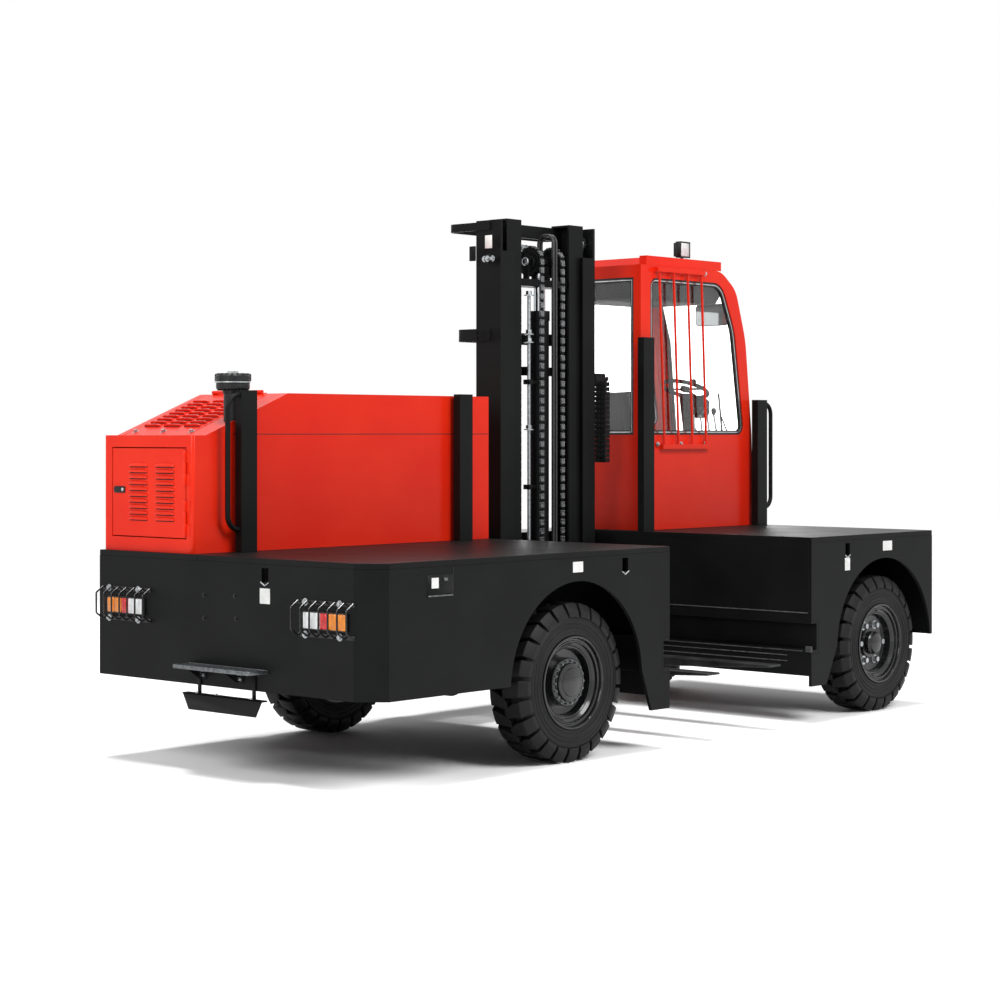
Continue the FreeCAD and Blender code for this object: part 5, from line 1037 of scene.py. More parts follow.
hose_low, hose_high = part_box("hose_chain")
CHAIN_SPAN, CHAIN_DEPTH, CHAIN_ROUND = hose_high.x - hose_low.x, 0.050, 0.065
LADDER_PITCH = 0.030
middle_x = (hose_low.x + hose_high.x) / 2
half_span, half_depth = CHAIN_SPAN / 2, CHAIN_DEPTH / 2
ladder = [block((-half_span, -half_depth, -LADDER_PITCH * 0.46),
                (-half_span + 0.006, half_depth, LADDER_PITCH * 0.46)),
          block((half_span - 0.006, -half_depth, -LADDER_PITCH * 0.46),
                (half_span, half_depth, LADDER_PITCH * 0.46))]
for face in (-half_depth, half_depth - 0.004):
    ladder.append(block((-half_span, face, -LADDER_PITCH * 0.40),
                        (half_span, face + 0.004, LADDER_PITCH * 0.06)))
    ladder += [block((-half_span + CHAIN_SPAN * share - 0.004, face, -LADDER_PITCH * 0.40),
                     (-half_span + CHAIN_SPAN * share + 0.004, face + 0.004, LADDER_PITCH * 0.36))
               for share in (0.25, 0.5, 0.75)]
inside = [(middle_x, hose_low.y + half_depth, hose_low.z + 0.016),
          (middle_x, hose_low.y + half_depth, hose_high.z - half_depth),
          (middle_x, hose_high.y - 0.030, hose_high.z - half_depth)]
route = rounded(inside, CHAIN_ROUND, 8)
make("energy_chain", [strung(route, ladder, LADDER_PITCH)], black_abs, "mast", edge=0.0008,
     smooth=0, stands_for=("hose_chain",))
hoses = []
for shift in (-0.028, 0.0, 0.028):
    hoses.append(tube(rounded([Vector(point) + Vector((shift, 0, 0)) for point in inside], CHAIN_ROUND, 8),
                      0.0125, 12))
make("energy_chain_lines", hoses, line_rubber, "mast")
make("energy_chain_bracket", [block((hose_low.x + 0.006, hose_high.y - 0.034,
                                     hose_high.z - CHAIN_DEPTH + 0.004),
                                    (hose_high.x - 0.006, hose_high.y, hose_high.z - 0.004)),
                              block((middle_x - 0.030, hose_low.y + 0.006, hose_low.z),
                                    (middle_x + 0.030, hose_low.y + 0.044,
                                                                                        hose_low.z + 0.040))],
     black_enamel, "mast", edge=0.002)

# ---------------------------------------------------------------- cab windows
# Toughened glass, 6 mm thick, held in black rubber gaskets that are pressed over the edge of the opening.
# A raised bead runs in the groove of each gasket, coloured pale bright metal as a painted highlight.

window_glass = bpy.data.materials.new("toughened glass")
window_glass.use_nodes = True
tree = window_glass.node_tree
shader = tree.nodes["Principled BSDF"]
shader.inputs["Transmission Weight"].default_value = 1.0
shader.inputs["IOR"].default_value = 1.45
place = add(tree, "ShaderNodeTexCoord").outputs["Object"]
haze = add(tree, "ShaderNodeTexNoise", {"Vector": place, "Scale": 2.0, "Detail": 3.0}).outputs["Fac"]
tint = add(tree, "ShaderNodeMix", {0: haze, 6: linear("F8FAF9"), 7: linear("FFFFFF")},
           data_type="RGBA").outputs[2]
dull = add(tree, "ShaderNodeMapRange", {"Value": haze, "To Min": 0.0, "To Max": 0.04}).outputs[0]
tree.links.new(tint, shader.inputs["Base Color"])
tree.links.new(dull, shader.inputs["Roughness"])
paint(window_glass, "cab_glazing", "door_glass")

# pane seal: matt black with a narrow sheen at its lips
gasket_rubber = surface("extruded gasket rubber", "0E0E0F", "1B1B1C", 0.03, (0.4, 0.55), relief=0.2,
                        grain=0.002)
# the gasket's raised bead, pale mirror-bright metal as painted highlight: a thin bright outline of the pane
gasket_painted_highlight = surface("bright filler strip", "A9ACAE", "D2D4D5", 0.05, (0.18, 0.3), metallic=1.0)


PANE_AREA, PANE_BEND = 0.05, 0.8


def pane_outlines(node):
    """The outline of each face of a node's panes, with the way that the face looks."""
    source = bmesh.new()
    source.from_mesh(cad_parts[node].data)
    bmesh.ops.remove_doubles(source, verts=source.verts, dist=1e-5)
    bmesh.ops.dissolve_limit(source, angle_limit=math.radians(0.5), verts=source.verts, edges=source.edges)
    bends = [edge for edge in source.edges if len(edge.link_faces) == 2
             and min(face.calc_area() for face in edge.link_faces) > PANE_AREA
             and edge.link_faces[0].normal.dot(edge.link_faces[1].normal) > PANE_BEND]
    bmesh.ops.dissolve_edges(source, edges=bends, use_verts=False)
    found = [([corner.vert.co.copy() for corner in face.loops], face.normal.copy()) for face in source.faces
             if face.calc_area() > PANE_AREA]
    source.free()
    return found


def strip_round(outline, facing, inset, width, depth, lift):
    """A flat moulding that follows an outline: drawn in by inset, lifted from the pane."""
    middle = sum(outline, Vector()) / len(outline)
    count = len(outline)
    rings = []
    for share, rise in ((inset, lift), (inset, lift + depth), (inset + width * 0.5, lift + depth * 1.35),
                        (inset + width, lift + depth), (inset + width, lift)):
        ring = []
        for number, point in enumerate(outline):
            before, after = outline[number - 1], outline[(number + 1) % count]
            inward = facing.cross((point - before).normalized() + (after - point).normalized())
            bend = max(0.5, ((point - before).normalized() + (after - point).normalized()).length / 2)
            ring.append(point + inward.normalized() * (share / bend) + facing * rise)
        rings.append(ring)
    points = [point for ring in rings for point in ring]
    faces = []
    for number in range(len(rings)):
        here, there = number * count, (number + 1) % len(rings) * count
        faces += [(here + step, here + (step + 1) % count, there + (step + 1) % count, there + step)
                  for step in range(count)]
    return points, faces


GASKET_WIDTH, GASKET_DEPTH = 0.034, 0.007
rubber_runs, bright_runs = {"root": [], "cab_entry": []}, {"root": [], "cab_entry": []}
for node, body in (("cab_glazing", "root"), ("door_glass", "cab_entry")):
    for outline, facing in pane_outlines(node):
        rubber_runs[body].append(strip_round(outline, facing, -0.004, GASKET_WIDTH, GASKET_DEPTH, 0.0005))
        bright_runs[body].append(strip_round(outline, facing, GASKET_WIDTH * 0.40, 0.007, 0.0014,
                                             GASKET_DEPTH + 0.0015))
for body, title in (("root", "cab"), ("cab_entry", "door")):
    make(f"{title}_gaskets", rubber_runs[body], gasket_rubber, body, smooth=40)
    make(f"{title}_gasket_strips", bright_runs[body], gasket_painted_highlight, body, smooth=40)

# ---------------------------------------------------------------- cab inside
# Moulded black headliner and trim, an adjustable seat in black vinyl, a side box of levers, and a slim
# steering column with its instrument pod and a wheel with a spinner knob.

lining_black = surface("moulded cab trim", "121213", "1C1C1E", 0.06, (0.55, 0.7), shine=0.2)
shell_low, shell_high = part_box("cab_shell")
CAB_LEFT, WALL = 1.045, 0.040
room_low = Vector((shell_low.x + WALL, shell_low.y + WALL, shell_low.z + WALL))
room_high = Vector((CAB_LEFT - WALL, shell_high.y - WALL, shell_high.z - WALL))
HEADLINER = 0.170
lining = [prism([(room_high.y - 0.004, room_high.z - 0.002), (room_high.y - 0.004, room_high.z - HEADLINER),
                 (room_high.y - 0.060, room_high.z - HEADLINER - 0.012),
                 (room_low.y + 0.330, room_high.z - HEADLINER - 0.012),
                 (room_low.y + 0.270, room_high.z - 0.120), (room_low.y + 0.400, room_high.z - 0.002)],
                "x", room_low.x + 0.012, room_high.x - 0.012)]
lining += [block((x - 0.006, y - 0.020, room_low.z), (x + 0.006, y + 0.020, room_high.z - HEADLINER))
           for x in (room_low.x + 0.010,) for y in (room_high.y - 0.024,)]
lining += [block((room_low.x + 0.004, room_low.y + 0.10, room_low.z),
                 (room_low.x + 0.010, room_high.y - 0.01, 1.716)),
           block((room_low.x + 0.004, room_high.y - 0.010, room_low.z),
                 (room_high.x - 0.004, room_high.y - 0.004, 1.716))]
make("cab_lining", lining, lining_black, "root", edge=0.010, smooth=40)
# ribbed mat: dull grey-black, its ribs catching a little light
floor_mat = surface("ribbed rubber mat", "131313", "1E1E1F", 0.05, (0.6, 0.75), relief=0.15, grain=0.002)
MAT_RIBS = 26
MAT_THICK, RIB_PITCH, RIB_LENGTH = 0.006, 0.022, 0.75
mat_low = (room_low.x + 0.01, room_low.y + 0.08, room_low.z)
mat = [block(mat_low, (room_high.x - 0.01, room_high.y - 0.02, mat_low[2] + MAT_THICK))]
mat += [block((mat_low[0] + 0.02 + number * RIB_PITCH, mat_low[1] + 0.02, mat_low[2] + MAT_THICK),
              (mat_low[0] + 0.030 + number * RIB_PITCH, mat_low[1] + RIB_LENGTH, mat_low[2] + 0.009))
        for number in range(MAT_RIBS)]
make("cab_mat", mat, floor_mat, "root")

wheel_box, seat_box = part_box("steering_wheel"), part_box("seat")
SIDE_BOX = ((0.358, -2.3355, room_low.z), (0.468, -1.6755, 1.720))
wheel_middle = Vector(((wheel_box[0].x + wheel_box[1].x) / 2, (wheel_box[0].y + wheel_box[1].y) / 2,
                       (wheel_box[0].z + wheel_box[1].z) / 2))
controls = [prism([(SIDE_BOX[0][1], room_low.z), (SIDE_BOX[1][1], room_low.z), (SIDE_BOX[1][1], 1.66),
                   (SIDE_BOX[1][1] - 0.08, 1.72), (SIDE_BOX[0][1] + 0.05, 1.72), (SIDE_BOX[0][1], 1.64)],
                  "x", SIDE_BOX[0][0], SIDE_BOX[1][0])]
column = [(-2.4355, room_low.z), (-2.335, room_low.z), (-2.295, 1.50), (-2.1955, 2.010), (-2.2355, 2.0255),
          (-2.3355, 1.50)]
controls.append(prism(column, "x", 0.640, 0.730))
POD = (Vector((0.600, -2.38, 1.86)), Vector((0.770, -2.31, 1.97)))
controls.append(prism([(POD[0].y, POD[0].z), (POD[1].y, POD[0].z - 0.01), (POD[1].y + 0.03, POD[1].z - 0.03),
                       (POD[0].y + 0.03, POD[1].z + 0.02), (POD[0].y - 0.01, POD[1].z)], "x", POD[0].x,
                      POD[1].x))
make("cab_controls", controls, lining_black, "root", edge=0.012, smooth=40,
     stands_for=("console",))
levers, knobs = [], []
for number in range(4):
    foot = Vector((0.413, -2.22 + 0.085 * number, 1.715))
    top = foot + Vector((0.018, 0.020 - 0.01 * number, 0.16))
    levers.append(tube([foot, top], 0.006, 10))
    levers.append(turned_to(lathe([(0.022, 0), (0.020, 0.010), (0.012, 0.026), (0.007, 0.030), (0.0, 0.030),
                                   (0.0, 0.0)], 16), foot))
    pear = [(0, -0.004), (0.009, -0.004), (0.016, 0.012), (0.018, 0.026), (0.013, 0.042), (0, 0.046)]
    knobs.append(turned_to(lathe(pear, 20), top))
levers.append(tube(rounded([(0.62, -2.28, 1.86), (0.56, -2.26, 1.90), (0.53, -2.24, 1.93)], 0.02), 0.005))
levers.append(tube([(0.690, -2.29, 2.00), (0.690, -2.29, 2.12)], 0.006))
knobs.append(turned_to(lathe([(0, 0), (0.008, 0), (0.010, 0.02), (0.008, 0.045), (0, 0.048)], 16),
                       (0.53, -2.24, 1.93), (-0.8, 0.4, 0.5)))
knobs.append(turned_to(lathe([(0, 0), (0.016, 0.002), (0.019, 0.020), (0.014, 0.034), (0, 0.038)], 20),
                       wheel_middle + Vector((-0.118, 0.060, 0.030))))
make("lever_rods", levers, zinc, "root")
make("lever_knobs", knobs, black_abs, "root", smooth=50)
paint(lining_black, "steering_wheel")

mirror_low, mirror_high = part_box("mirror")
mirror_face = [(mirror_low.x, 2.480), (mirror_high.x, 2.480), (mirror_high.x, 2.630), (mirror_low.x, 2.630)]
outline = rounded([(x, 0, z) for x, z in mirror_face], 0.035, 6, closed=True)
back = prism([(point.x, point.z) for point in outline], "y", mirror_low.y, mirror_high.y - 0.006)
centre = Vector(((mirror_low.x + mirror_high.x) / 2, 0, 2.555))
glass_ring = [centre + (point - centre) * 0.93 for point in outline]
silver = prism([(point.x, point.z) for point in glass_ring], "y", mirror_high.y - 0.006,
               mirror_high.y - 0.003)
STEM_Y = mirror_low.y + 0.010
stem = tube([(centre.x, STEM_Y, 2.620), (centre.x, STEM_Y, mirror_high.z - 0.001)], 0.008)
make("mirror_back", [back, stem], black_abs, "root", edge=0.003, stands_for=("mirror",))
# mirror glass: a clear reflection of the studio
mirror_silver = surface("silvered glass", "C9CDCF", "DDE0E1", 0.3, (0.02, 0.05), metallic=1.0)
make("mirror_glass", [silver], mirror_silver, "root")

# ---------------------------------------------------------------- driver's seat
# Two foam pads in black vinyl, blown out between their seams, with two sewn channels down each, on a
# moulded pan over a suspension box with rubber bellows.

vinyl = surface("black seat vinyl", "161617", "262628", 0.05, (0.38, 0.52), relief=0.07, grain=0.0018)
PAD_VOXEL, PAD_PRESSURE, PAD_FRAMES = 0.010, 4.0, 20
CHANNEL, CHANNEL_DEPTH = 0.009, 0.007


def pad(name, low, high, crown, channels, taper=0.0):
    """A pad: a rounded block remeshed evenly, blown out as cloth, with sewn channels pulled in after."""
    low, high = Vector(low), Vector(high)
    shape = block(low + Vector((crown,) * 3), high - Vector((crown,) * 3))
    mesh = bpy.data.meshes.new(name)
    mesh.from_pydata(shape[0], [], shape[1])
    solid = bmesh.new()
    solid.from_mesh(mesh)
    bmesh.ops.recalc_face_normals(solid, faces=solid.faces)
    solid.to_mesh(mesh)
    solid.free()
    piece = bpy.data.objects.new(name, mesh)
    rounding = piece.modifiers.new("rounding", "BEVEL")
    rounding.width = 0.028
    rounding.segments = 3
    even = piece.modifiers.new("even", "REMESH")
    even.mode = "VOXEL"
    even.voxel_size = PAD_VOXEL
    flatten(piece)
    cloth = piece.modifiers.new("blown", "CLOTH")
    cloth.settings.use_pressure = True
    cloth.settings.uniform_pressure_force = PAD_PRESSURE
    cloth.settings.effector_weights.gravity = 0
    cloth.point_cache.frame_start, cloth.point_cache.frame_end = 1, PAD_FRAMES
    for number in range(1, PAD_FRAMES + 1):
        SCENE.frame_set(number)
    blown = piece.evaluated_get(bpy.context.evaluated_depsgraph_get()).to_mesh()
    for point, moved in zip(piece.data.vertices, blown.vertices):
        step = moved.co - point.co
        point.co += step * min(1.0, crown * 0.9 / max(step.length, 1e-6))
    piece.modifiers.clear()
    SCENE.frame_set(1)
    smoothing = piece.modifiers.new("smoothing", "SUBSURF")
    smoothing.levels = smoothing.render_levels = 1
    SCENE.collection.objects.unlink(piece)
    flatten(piece)
    middle = (low + high) / 2
    for point in piece.data.vertices:
        for place in channels:
            away = (point.co.x - place) / CHANNEL
            pull = CHANNEL_DEPTH * math.exp(-away * away)
            point.co -= (point.co - middle).normalized() * pull
        rise = max(0.0, (point.co.z - low.z) / (high.z - low.z))
        point.co.x = middle.x + (point.co.x - middle.x) * (1 - taper * rise ** 2)
    piece.data.shade_smooth()
    settle(piece, "root", vinyl)
    return piece


seat_low, seat_high = seat_box
SEAT_Z = 1.540
CUSHION_TOP = SEAT_Z + 0.120
cushion = pad("seat_cushion", (seat_low.x, seat_low.y, SEAT_Z),
              (seat_high.x, seat_low.y + 0.490, CUSHION_TOP), 0.014,
              (seat_low.x + 0.10, seat_high.x - 0.10))
back_pad = pad("seat_back", (seat_low.x, seat_high.y - 0.118, CUSHION_TOP - 0.030),
               (seat_high.x, seat_high.y, seat_high.z),
               0.014, (seat_low.x + 0.10, seat_high.x - 0.10), taper=0.38)
seat_frame = [block((0.545, seat_low.y + 0.06, room_low.z + 0.006),
                    (0.845, seat_low.y + 0.42, room_low.z + 0.10)),
              block((0.505, seat_low.y + 0.02, SEAT_Z - 0.045), (0.885, seat_high.y - 0.02, SEAT_Z - 0.002))]
bellows = [block((0.545 + 0.012 * (number % 2), seat_low.y + 0.06 + 0.012 * (number % 2),
                  room_low.z + 0.10 + 0.0235 * number),
                 (0.845 - 0.012 * (number % 2), seat_low.y + 0.42 - 0.012 * (number % 2),
                  room_low.z + 0.1235 + 0.0235 * number))
           for number in range(10)]
make("seat_frame", seat_frame + bellows, lining_black, "root", edge=0.005)
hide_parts("seat")
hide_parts("seat")

# ---------------------------------------------------------------- roof lamp, wipers and cab fittings
# A square work lamp stands on a bolted foot on the roof rail. Two wiper arms park on the front screen,
# and the window guard's round rods are screwed to two flat bars.

lamp_low, lamp_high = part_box("work_lamp")
LAMP_FOOT = lamp_high.z - 0.110
housing = [prism([(lamp_low.y, LAMP_FOOT), (lamp_high.y, LAMP_FOOT), (lamp_high.y, lamp_high.z),
                  (lamp_low.y, lamp_high.z)],
                 "x", lamp_low.x + 0.006, lamp_high.x - 0.020)]
housing += [block((lamp_high.x - 0.022, lamp_low.y + 0.010 + 0.015 * number, LAMP_FOOT + 0.008),
                  (lamp_high.x, lamp_low.y + 0.016 + 0.015 * number,
                   lamp_high.z - 0.008)) for number in range(7)]
housing += [block((lamp_low.x, lamp_low.y, LAMP_FOOT), (lamp_low.x + 0.010, lamp_high.y, LAMP_FOOT + 0.009)),
            block((lamp_low.x, lamp_low.y, lamp_high.z - 0.009),
                  (lamp_low.x + 0.010, lamp_high.y, lamp_high.z)),
            block((lamp_low.x, lamp_low.y, LAMP_FOOT), (lamp_low.x + 0.010, lamp_low.y + 0.009, lamp_high.z)),
            block((lamp_low.x, lamp_high.y - 0.009, LAMP_FOOT),
                  (lamp_low.x + 0.010, lamp_high.y, lamp_high.z))]
lamp_middle = Vector(((lamp_low.x + lamp_high.x) / 2, (lamp_low.y + lamp_high.y) / 2, 0))
housing += [block((lamp_middle.x - 0.014, lamp_middle.y - 0.020, lamp_low.z),
                  (lamp_middle.x + 0.014, lamp_middle.y + 0.020,
                                                                             lamp_low.z + 0.006)),
            turned_to(lathe([(0, 0), (0.010, 0), (0.010, 0.045), (0, 0.045)], 16),
                      (lamp_middle.x, lamp_middle.y, lamp_low.z))]
make("work_lamp_housing", housing, black_abs, "root", edge=0.003, stands_for=("work_lamp",))
make("work_lamp_lens", [block((lamp_low.x + 0.002, lamp_low.y + 0.010, LAMP_FOOT + 0.010),
                              (lamp_low.x + 0.008, lamp_high.y - 0.010, lamp_high.z - 0.010))], clear_lens,
     "root",
     edge=0.002)

guard_low, guard_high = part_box("window_guard")
heads = []
for level in (1.675, 2.812):
    heads += [((guard_low.x + 0.030, guard_high.y - 0.035 - 0.165 * number, level),
               (-1, 0, 0)) for number in (0, 1.5, 3.1)]
bolts("window_guard_bolts", heads, zinc, "root", width=0.018, height=0.008)
wipers = []
for foot_x, top_x in ((0.42, 0.55), (0.66, 0.82)):
    foot, top = Vector((foot_x, -2.485, 1.50)), Vector((top_x, -2.450, 1.86))
    wipers.append(tube([foot, foot + Vector((0, -0.010, 0.02)), top], 0.005))
    wipers.append(tube([top + Vector((-0.02, 0.004, -0.22)), top + Vector((0.02, 0.004, 0.16))], 0.007, 6))
    wipers.append(turned_to(lathe([(0, 0), (0.016, 0), (0.012, 0.014), (0, 0.016)], 16),
                            foot + Vector((0, 0.012, 0)), (0, -1, 0)))
make("wiper_arms", wipers, black_abs, "root")
DOOR_FACE_X = 1.045
handle = [block((DOOR_FACE_X, -1.540, 1.560), (DOOR_FACE_X + 0.004, -1.420, 1.640)),
          tube(rounded([(DOOR_FACE_X + 0.004, -1.528, 1.600), (DOOR_FACE_X + 0.013, -1.528, 1.600),
                        (DOOR_FACE_X + 0.013, -1.432, 1.600), (DOOR_FACE_X + 0.004, -1.432, 1.600)], 0.010),
               0.006)]
make("cab_door_handle", handle, black_abs, "cab_entry", edge=0.002)

# ---------------------------------------------------------------- hood lid, latch and fittings
# The sloped lid has three columns of louvres and is held by three bolts on its lower lip. The rear door
# has a black paddle latch with a key barrel, and every panel edge is folded back.

lid_low, lid_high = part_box("louvre_lid")


def lid_frame():
    """The lid's sloped top: a point on it, the way up the slope, and the way out of it."""
    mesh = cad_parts["louvre_lid"].data
    best = max((face for face in mesh.polygons if face.normal.y > 0.2 and face.normal.z > 0.5),
               key=lambda face: face.area)
    out = best.normal.copy()
    up = Vector((0, -out.z, out.y)).normalized()
    return best.center.copy(), up, out


lid_point, lid_up, lid_out = lid_frame()
lid_middle_x = (lid_low.x + lid_high.x) / 2
LID_SPACING, LID_LENGTH, LID_PITCH, LID_COUNT, LID_HEIGHT = 0.165, 0.135, 0.046, 9, 0.024
lid_start = Vector((lid_middle_x, lid_point.y, lid_point.z))
to_foot = (lid_high.y - 0.120 - lid_point.y) / lid_up.y
lid_start += lid_up * to_foot
slope = math.atan2(lid_up.z, -lid_up.y)
louvres("lid_louvre", "louvre_cover", lid_start, (slope, 0, math.pi), 3, LID_SPACING, LID_LENGTH, LID_HEIGHT,
        LID_PITCH, LID_COUNT, rise=0.014)
lip = lid_start - lid_up * 0.075
lip += Vector((-0.012, 0, 0))
bolts("lid_bolts", [(lip + Vector((shift, 0, 0)), lid_out) for shift in (-0.232, 0, 0.232)], zinc,
      "louvre_cover",
      width=0.020, height=0.010)

# paddle latch: a sunk black dish, a paddle across it and a bright key barrel
LATCH = Vector((0.908, DOOR_FACE, 1.446))
LATCH_WIDTH, LATCH_HEIGHT = 0.092, 0.036


def rounded_plate(middle, width, height, radius, low, high):
    """A plate with round corners, lying across Y."""
    corners = [(middle.x + x * width / 2, 0, middle.z + z * height / 2) for x,
               z in ((-1, -1), (1, -1), (1, 1), (-1, 1))]
    return prism([(point.x, point.z) for point in rounded(corners, radius, 5, closed=True)], "y", low, high)


make("latch", [rounded_plate(LATCH, LATCH_WIDTH, LATCH_HEIGHT, 0.008, LATCH.y, LATCH.y + 0.004),
               rounded_plate(LATCH + Vector((0.014, 0, 0)), 0.056, 0.026, 0.006, LATCH.y + 0.003,
                             LATCH.y + 0.010)],
     black_abs, "rear_access", edge=0.0015)
make("latch_key", [turned_to(lathe([(0, 0), (0.010, 0), (0.010, 0.007), (0.008, 0.009), (0.003, 0.009),
                                    (0.003, 0.006),
                                    (0, 0.006)], 20), (LATCH.x - 0.030, LATCH.y + 0.003, LATCH.z),
                             (0, 1, 0))],
     zinc, "rear_access")

# the hood's lower sheet laps the upper one: a thin black strip along the joint is painted shade for the gap
JOINT = 1.743
hood_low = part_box("hood_shell")[0]
make("hood_joint", [block((hood_low.x - 0.0008, hood_low.y + 0.004, JOINT - 0.002),
                          (hood_low.x + 0.001, 2.210, JOINT + 0.002))],
     gap_painted_shade, "root", smooth=0)

# ---------------------------------------------------------------- air intake
# A cyclone pre-cleaner of moulded black plastic on a steel neck: a ribbed bowl with vanes below its
# rim, a clear-banded clamp ring and a domed lid held by one wing nut.

intake_low, intake_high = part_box("air_intake")
axis = Vector(((intake_low.x + intake_high.x) / 2, (intake_low.y + intake_high.y) / 2, 0))
BOWL = intake_high.x - axis.x
TOP = intake_high.z
neck = lathe([(0, intake_low.z), (0.050, intake_low.z), (0.050, TOP - 0.120), (0.056, TOP - 0.118),
              (0.056, TOP - 0.104),
              (0.070, TOP - 0.098), (0, TOP - 0.098)], 40)
bowl = lathe([(0, TOP - 0.100), (0.072, TOP - 0.100), (BOWL - 0.010, TOP - 0.096),
              (BOWL - 0.008, TOP - 0.090),
              (BOWL - 0.008, TOP - 0.066), (BOWL - 0.014, TOP - 0.064), (BOWL - 0.014, TOP - 0.056),
              (BOWL - 0.006, TOP - 0.054), (BOWL - 0.005, TOP - 0.028), (BOWL - 0.012, TOP - 0.020),
              (0.060, TOP - 0.016),
              (0.030, TOP - 0.013), (0, TOP - 0.012)], 56)
vanes = ring_of([block((0.060, -0.002, TOP - 0.104), (BOWL - 0.014, 0.002, TOP - 0.094))], 28, 0)
ribs = ring_of([block((0.030, -0.003, TOP - 0.024), (BOWL - 0.010, 0.003, TOP - 0.013))], 16, 0)
lugs = ring_of([turned_to(lathe([(0, 0), (0.009, 0), (0.009, 0.034), (0.006, 0.038), (0, 0.038)], 12),
                          (BOWL - 0.010, 0, TOP - 0.054))], 8, 0)
make("intake_bowl", [turned_to(shape, axis) for shape in (neck, bowl, vanes, ribs, lugs)], black_abs, "root",
     smooth=35, stands_for=("air_intake",))
clamp = lathe([(BOWL - 0.012, TOP - 0.064), (BOWL - 0.001, TOP - 0.063), (BOWL - 0.001, TOP - 0.057),
               (BOWL - 0.012, TOP - 0.056)], 56)
nut = [turned_to(lathe([(0, 0), (0.009, 0), (0.009, 0.010), (0, 0.010)], 6),
                 axis + Vector((0, 0, TOP - 0.013))),
       turned_to(block((-0.030, -0.002, 0.002), (0.030, 0.002, 0.012)), axis + Vector((0, 0, TOP - 0.013)),
                 roll=0.7)]
make("intake_clamp", [turned_to(clamp, axis)] + nut, zinc, "root", smooth=35)

# ---------------------------------------------------------------- posts
# Welded box posts hold the load off the hood and cab, two with a bent grab handle of round bar. A thin
# cap plate closes each.

dressed("posts", 0.004, black_enamel)

# ---------------------------------------------------------------- axles, knuckles and engine
# Sand-cast and forged iron: the steer beam and its knuckles are sprayed with the frame, the engine is
# painted a flat grey. Their cast skin stays rough under the paint.

# painted casting: a matt skin with the small lumps of the sand mould
frame_casting = surface("black painted casting", "0C0D0D", "161717", 0.12, (0.55, 0.75), relief=0.5,
                        grain=0.005, shine=0.15)
# flat grey engine paint: dull, a little browner where oil mist has dried
engine_casting = surface("grey painted casting", "3A3B3A", "4A4946", 0.15, (0.5, 0.7), relief=0.5,
                         grain=0.005, shine=0.2)
for node, body in (("drive_axle", "root"), ("steer_axle", "root"), ("knuckle_left", "steering_left"),
                   ("knuckle_right", "steering_right")):
    dressed(node, 0.004, frame_casting, body)
dressed("engine_block", 0.006, engine_casting)

# ---------------------------------------------------------------- plate details
# Slots torch-cut for the lashing hooks with a pressed lip, the fuel hatch in the load-side skirt, blank
# printed plates stuck on the sheets, and a few button-head screws where wiring clips sit behind.

SIDE_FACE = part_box("rear_skirts")[0].x
# a stuck-on label with nothing printed: white a little greyed
vinyl_white = surface("white vinyl plate", "D5D6D4", "E6E7E5", 0.05, (0.3, 0.42), relief=0.05, grain=0.002)
# enamel rubbed thin on its edges: dark grey with bare metal showing through
edge_wear = surface("edge-worn enamel", "4A4B4C", "707173", 0.03, (0.3, 0.45), metallic=0.6, relief=0.1,
                    grain=0.003)
PLATE_THICK = 0.0008


def on_rear(x0, x1, z0, z1, thick=PLATE_THICK):
    """A thin plate on the rear face."""
    return block((x0, REAR_FACE, z0), (x1, REAR_FACE + thick, z1))


def on_side(y0, y1, z0, z1, thick=PLATE_THICK):
    """A thin plate on the load-side faces."""
    return block((SIDE_FACE - thick, y0, z0), (SIDE_FACE, y1, z1))


make("blank_plates", [on_rear(-0.318, -0.243, 0.893, 0.970), on_side(2.071, 2.121, 0.984, 1.036, 0.005),
                      on_side(0.954, 1.037, 1.012, 1.068), on_side(-1.612, -1.556, 0.905, 0.982),
                      on_side(-2.093, -1.987, 1.010, 1.070)], vinyl_white, "root", smooth=0)


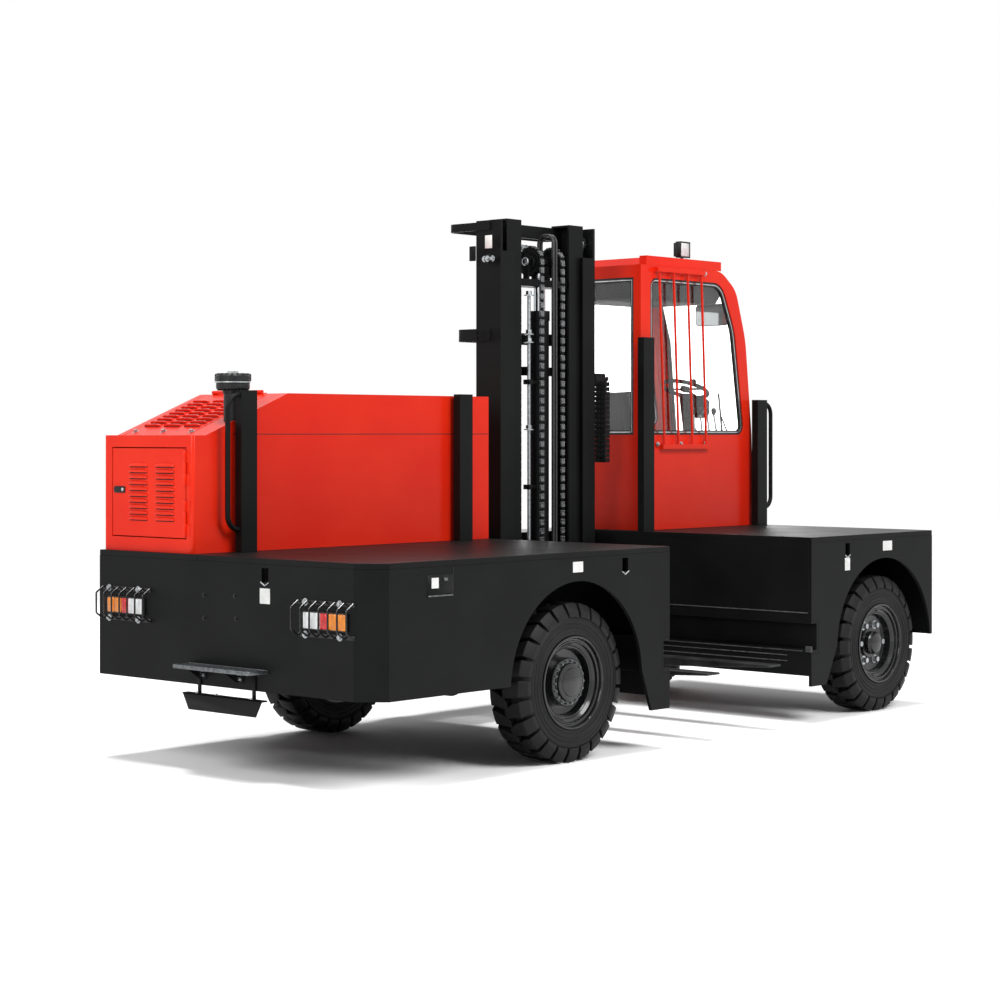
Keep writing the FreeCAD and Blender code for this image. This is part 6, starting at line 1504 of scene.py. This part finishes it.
def lip(middle, across, out):
    """The rolled V-shaped lower lip of a slot, worn bright."""
    rise = Vector((0, 0, 0.017))
    half = across * 0.030
    return tube([middle - half + out, middle - rise + out, middle + half + out], 0.0028, 8)


SLOT_LOW, LIP_OUT = 1.000, 0.001
SIDE_SLOTS = (-1.5865, 0.5955)
lips = [lip(Vector((-0.280, REAR_FACE, SLOT_LOW)), Vector((1, 0, 0)), Vector((0, LIP_OUT, 0)))]
lips += [lip(Vector((SIDE_FACE, place, SLOT_LOW)), Vector((0, 1, 0)),
             Vector((-LIP_OUT, 0, 0))) for place in SIDE_SLOTS]
make("slot_lips", lips, zinc, "root")
bolts("clip_screws", [(Vector((x, REAR_FACE, z)), (0, 1, 0)) for x, z in
                      ((0.185, 0.915), (-0.055, 0.921), (0.185, 0.796), (-0.063, 0.805))],
      black_abs, "root", width=0.014, height=0.006)

# fuel hatch: a folded flap hinged at its top, with a bright rolled lip and a small slam latch
HATCH = (1.963, 2.149, 0.948, 1.052)
make("fuel_hatch", [on_side(*HATCH, 0.004)], black_enamel, "root", edge=0.0012)
# the black strips in the hatch's seams are painted shade for the gaps
make("hatch_seams", [on_side(HATCH[0] - 0.004, HATCH[0], HATCH[2], 1.085, 0.0012),
                     on_side(HATCH[1], HATCH[1] + 0.003, HATCH[2], HATCH[3], 0.0012)], gap_painted_shade, "root",
     smooth=0)
make("hatch_lip", [on_side(HATCH[0] + 0.006, HATCH[1] - 0.004, HATCH[2] - 0.006, HATCH[2] + 0.002, 0.008),
                   on_side(2.008, 2.034, 1.018, 1.034, 0.009)], edge_wear, "root", edge=0.0015)

# the well walls carry a stitched weld bead and two bright-worn rubbing strips beside the track
WELL_WALL = 1.1925
BEADS = ((0.664, -1.020, 0.026), (0.402, -0.870, 0.106), (0.367, -0.870, 0.106))
make("wall_beads", [tube([(low, -WELL_WALL, z), (high, -WELL_WALL, z)], 0.003, 8) for z, low, high in BEADS] +
     [block((-0.980, -WELL_WALL, 0.430), (0.106, -WELL_WALL + 0.003, 0.436)),
      block((-1.050, -WELL_WALL, 0.428), (-1.005, -WELL_WALL + 0.006, 0.465))], edge_wear, "root",
     smooth=30)
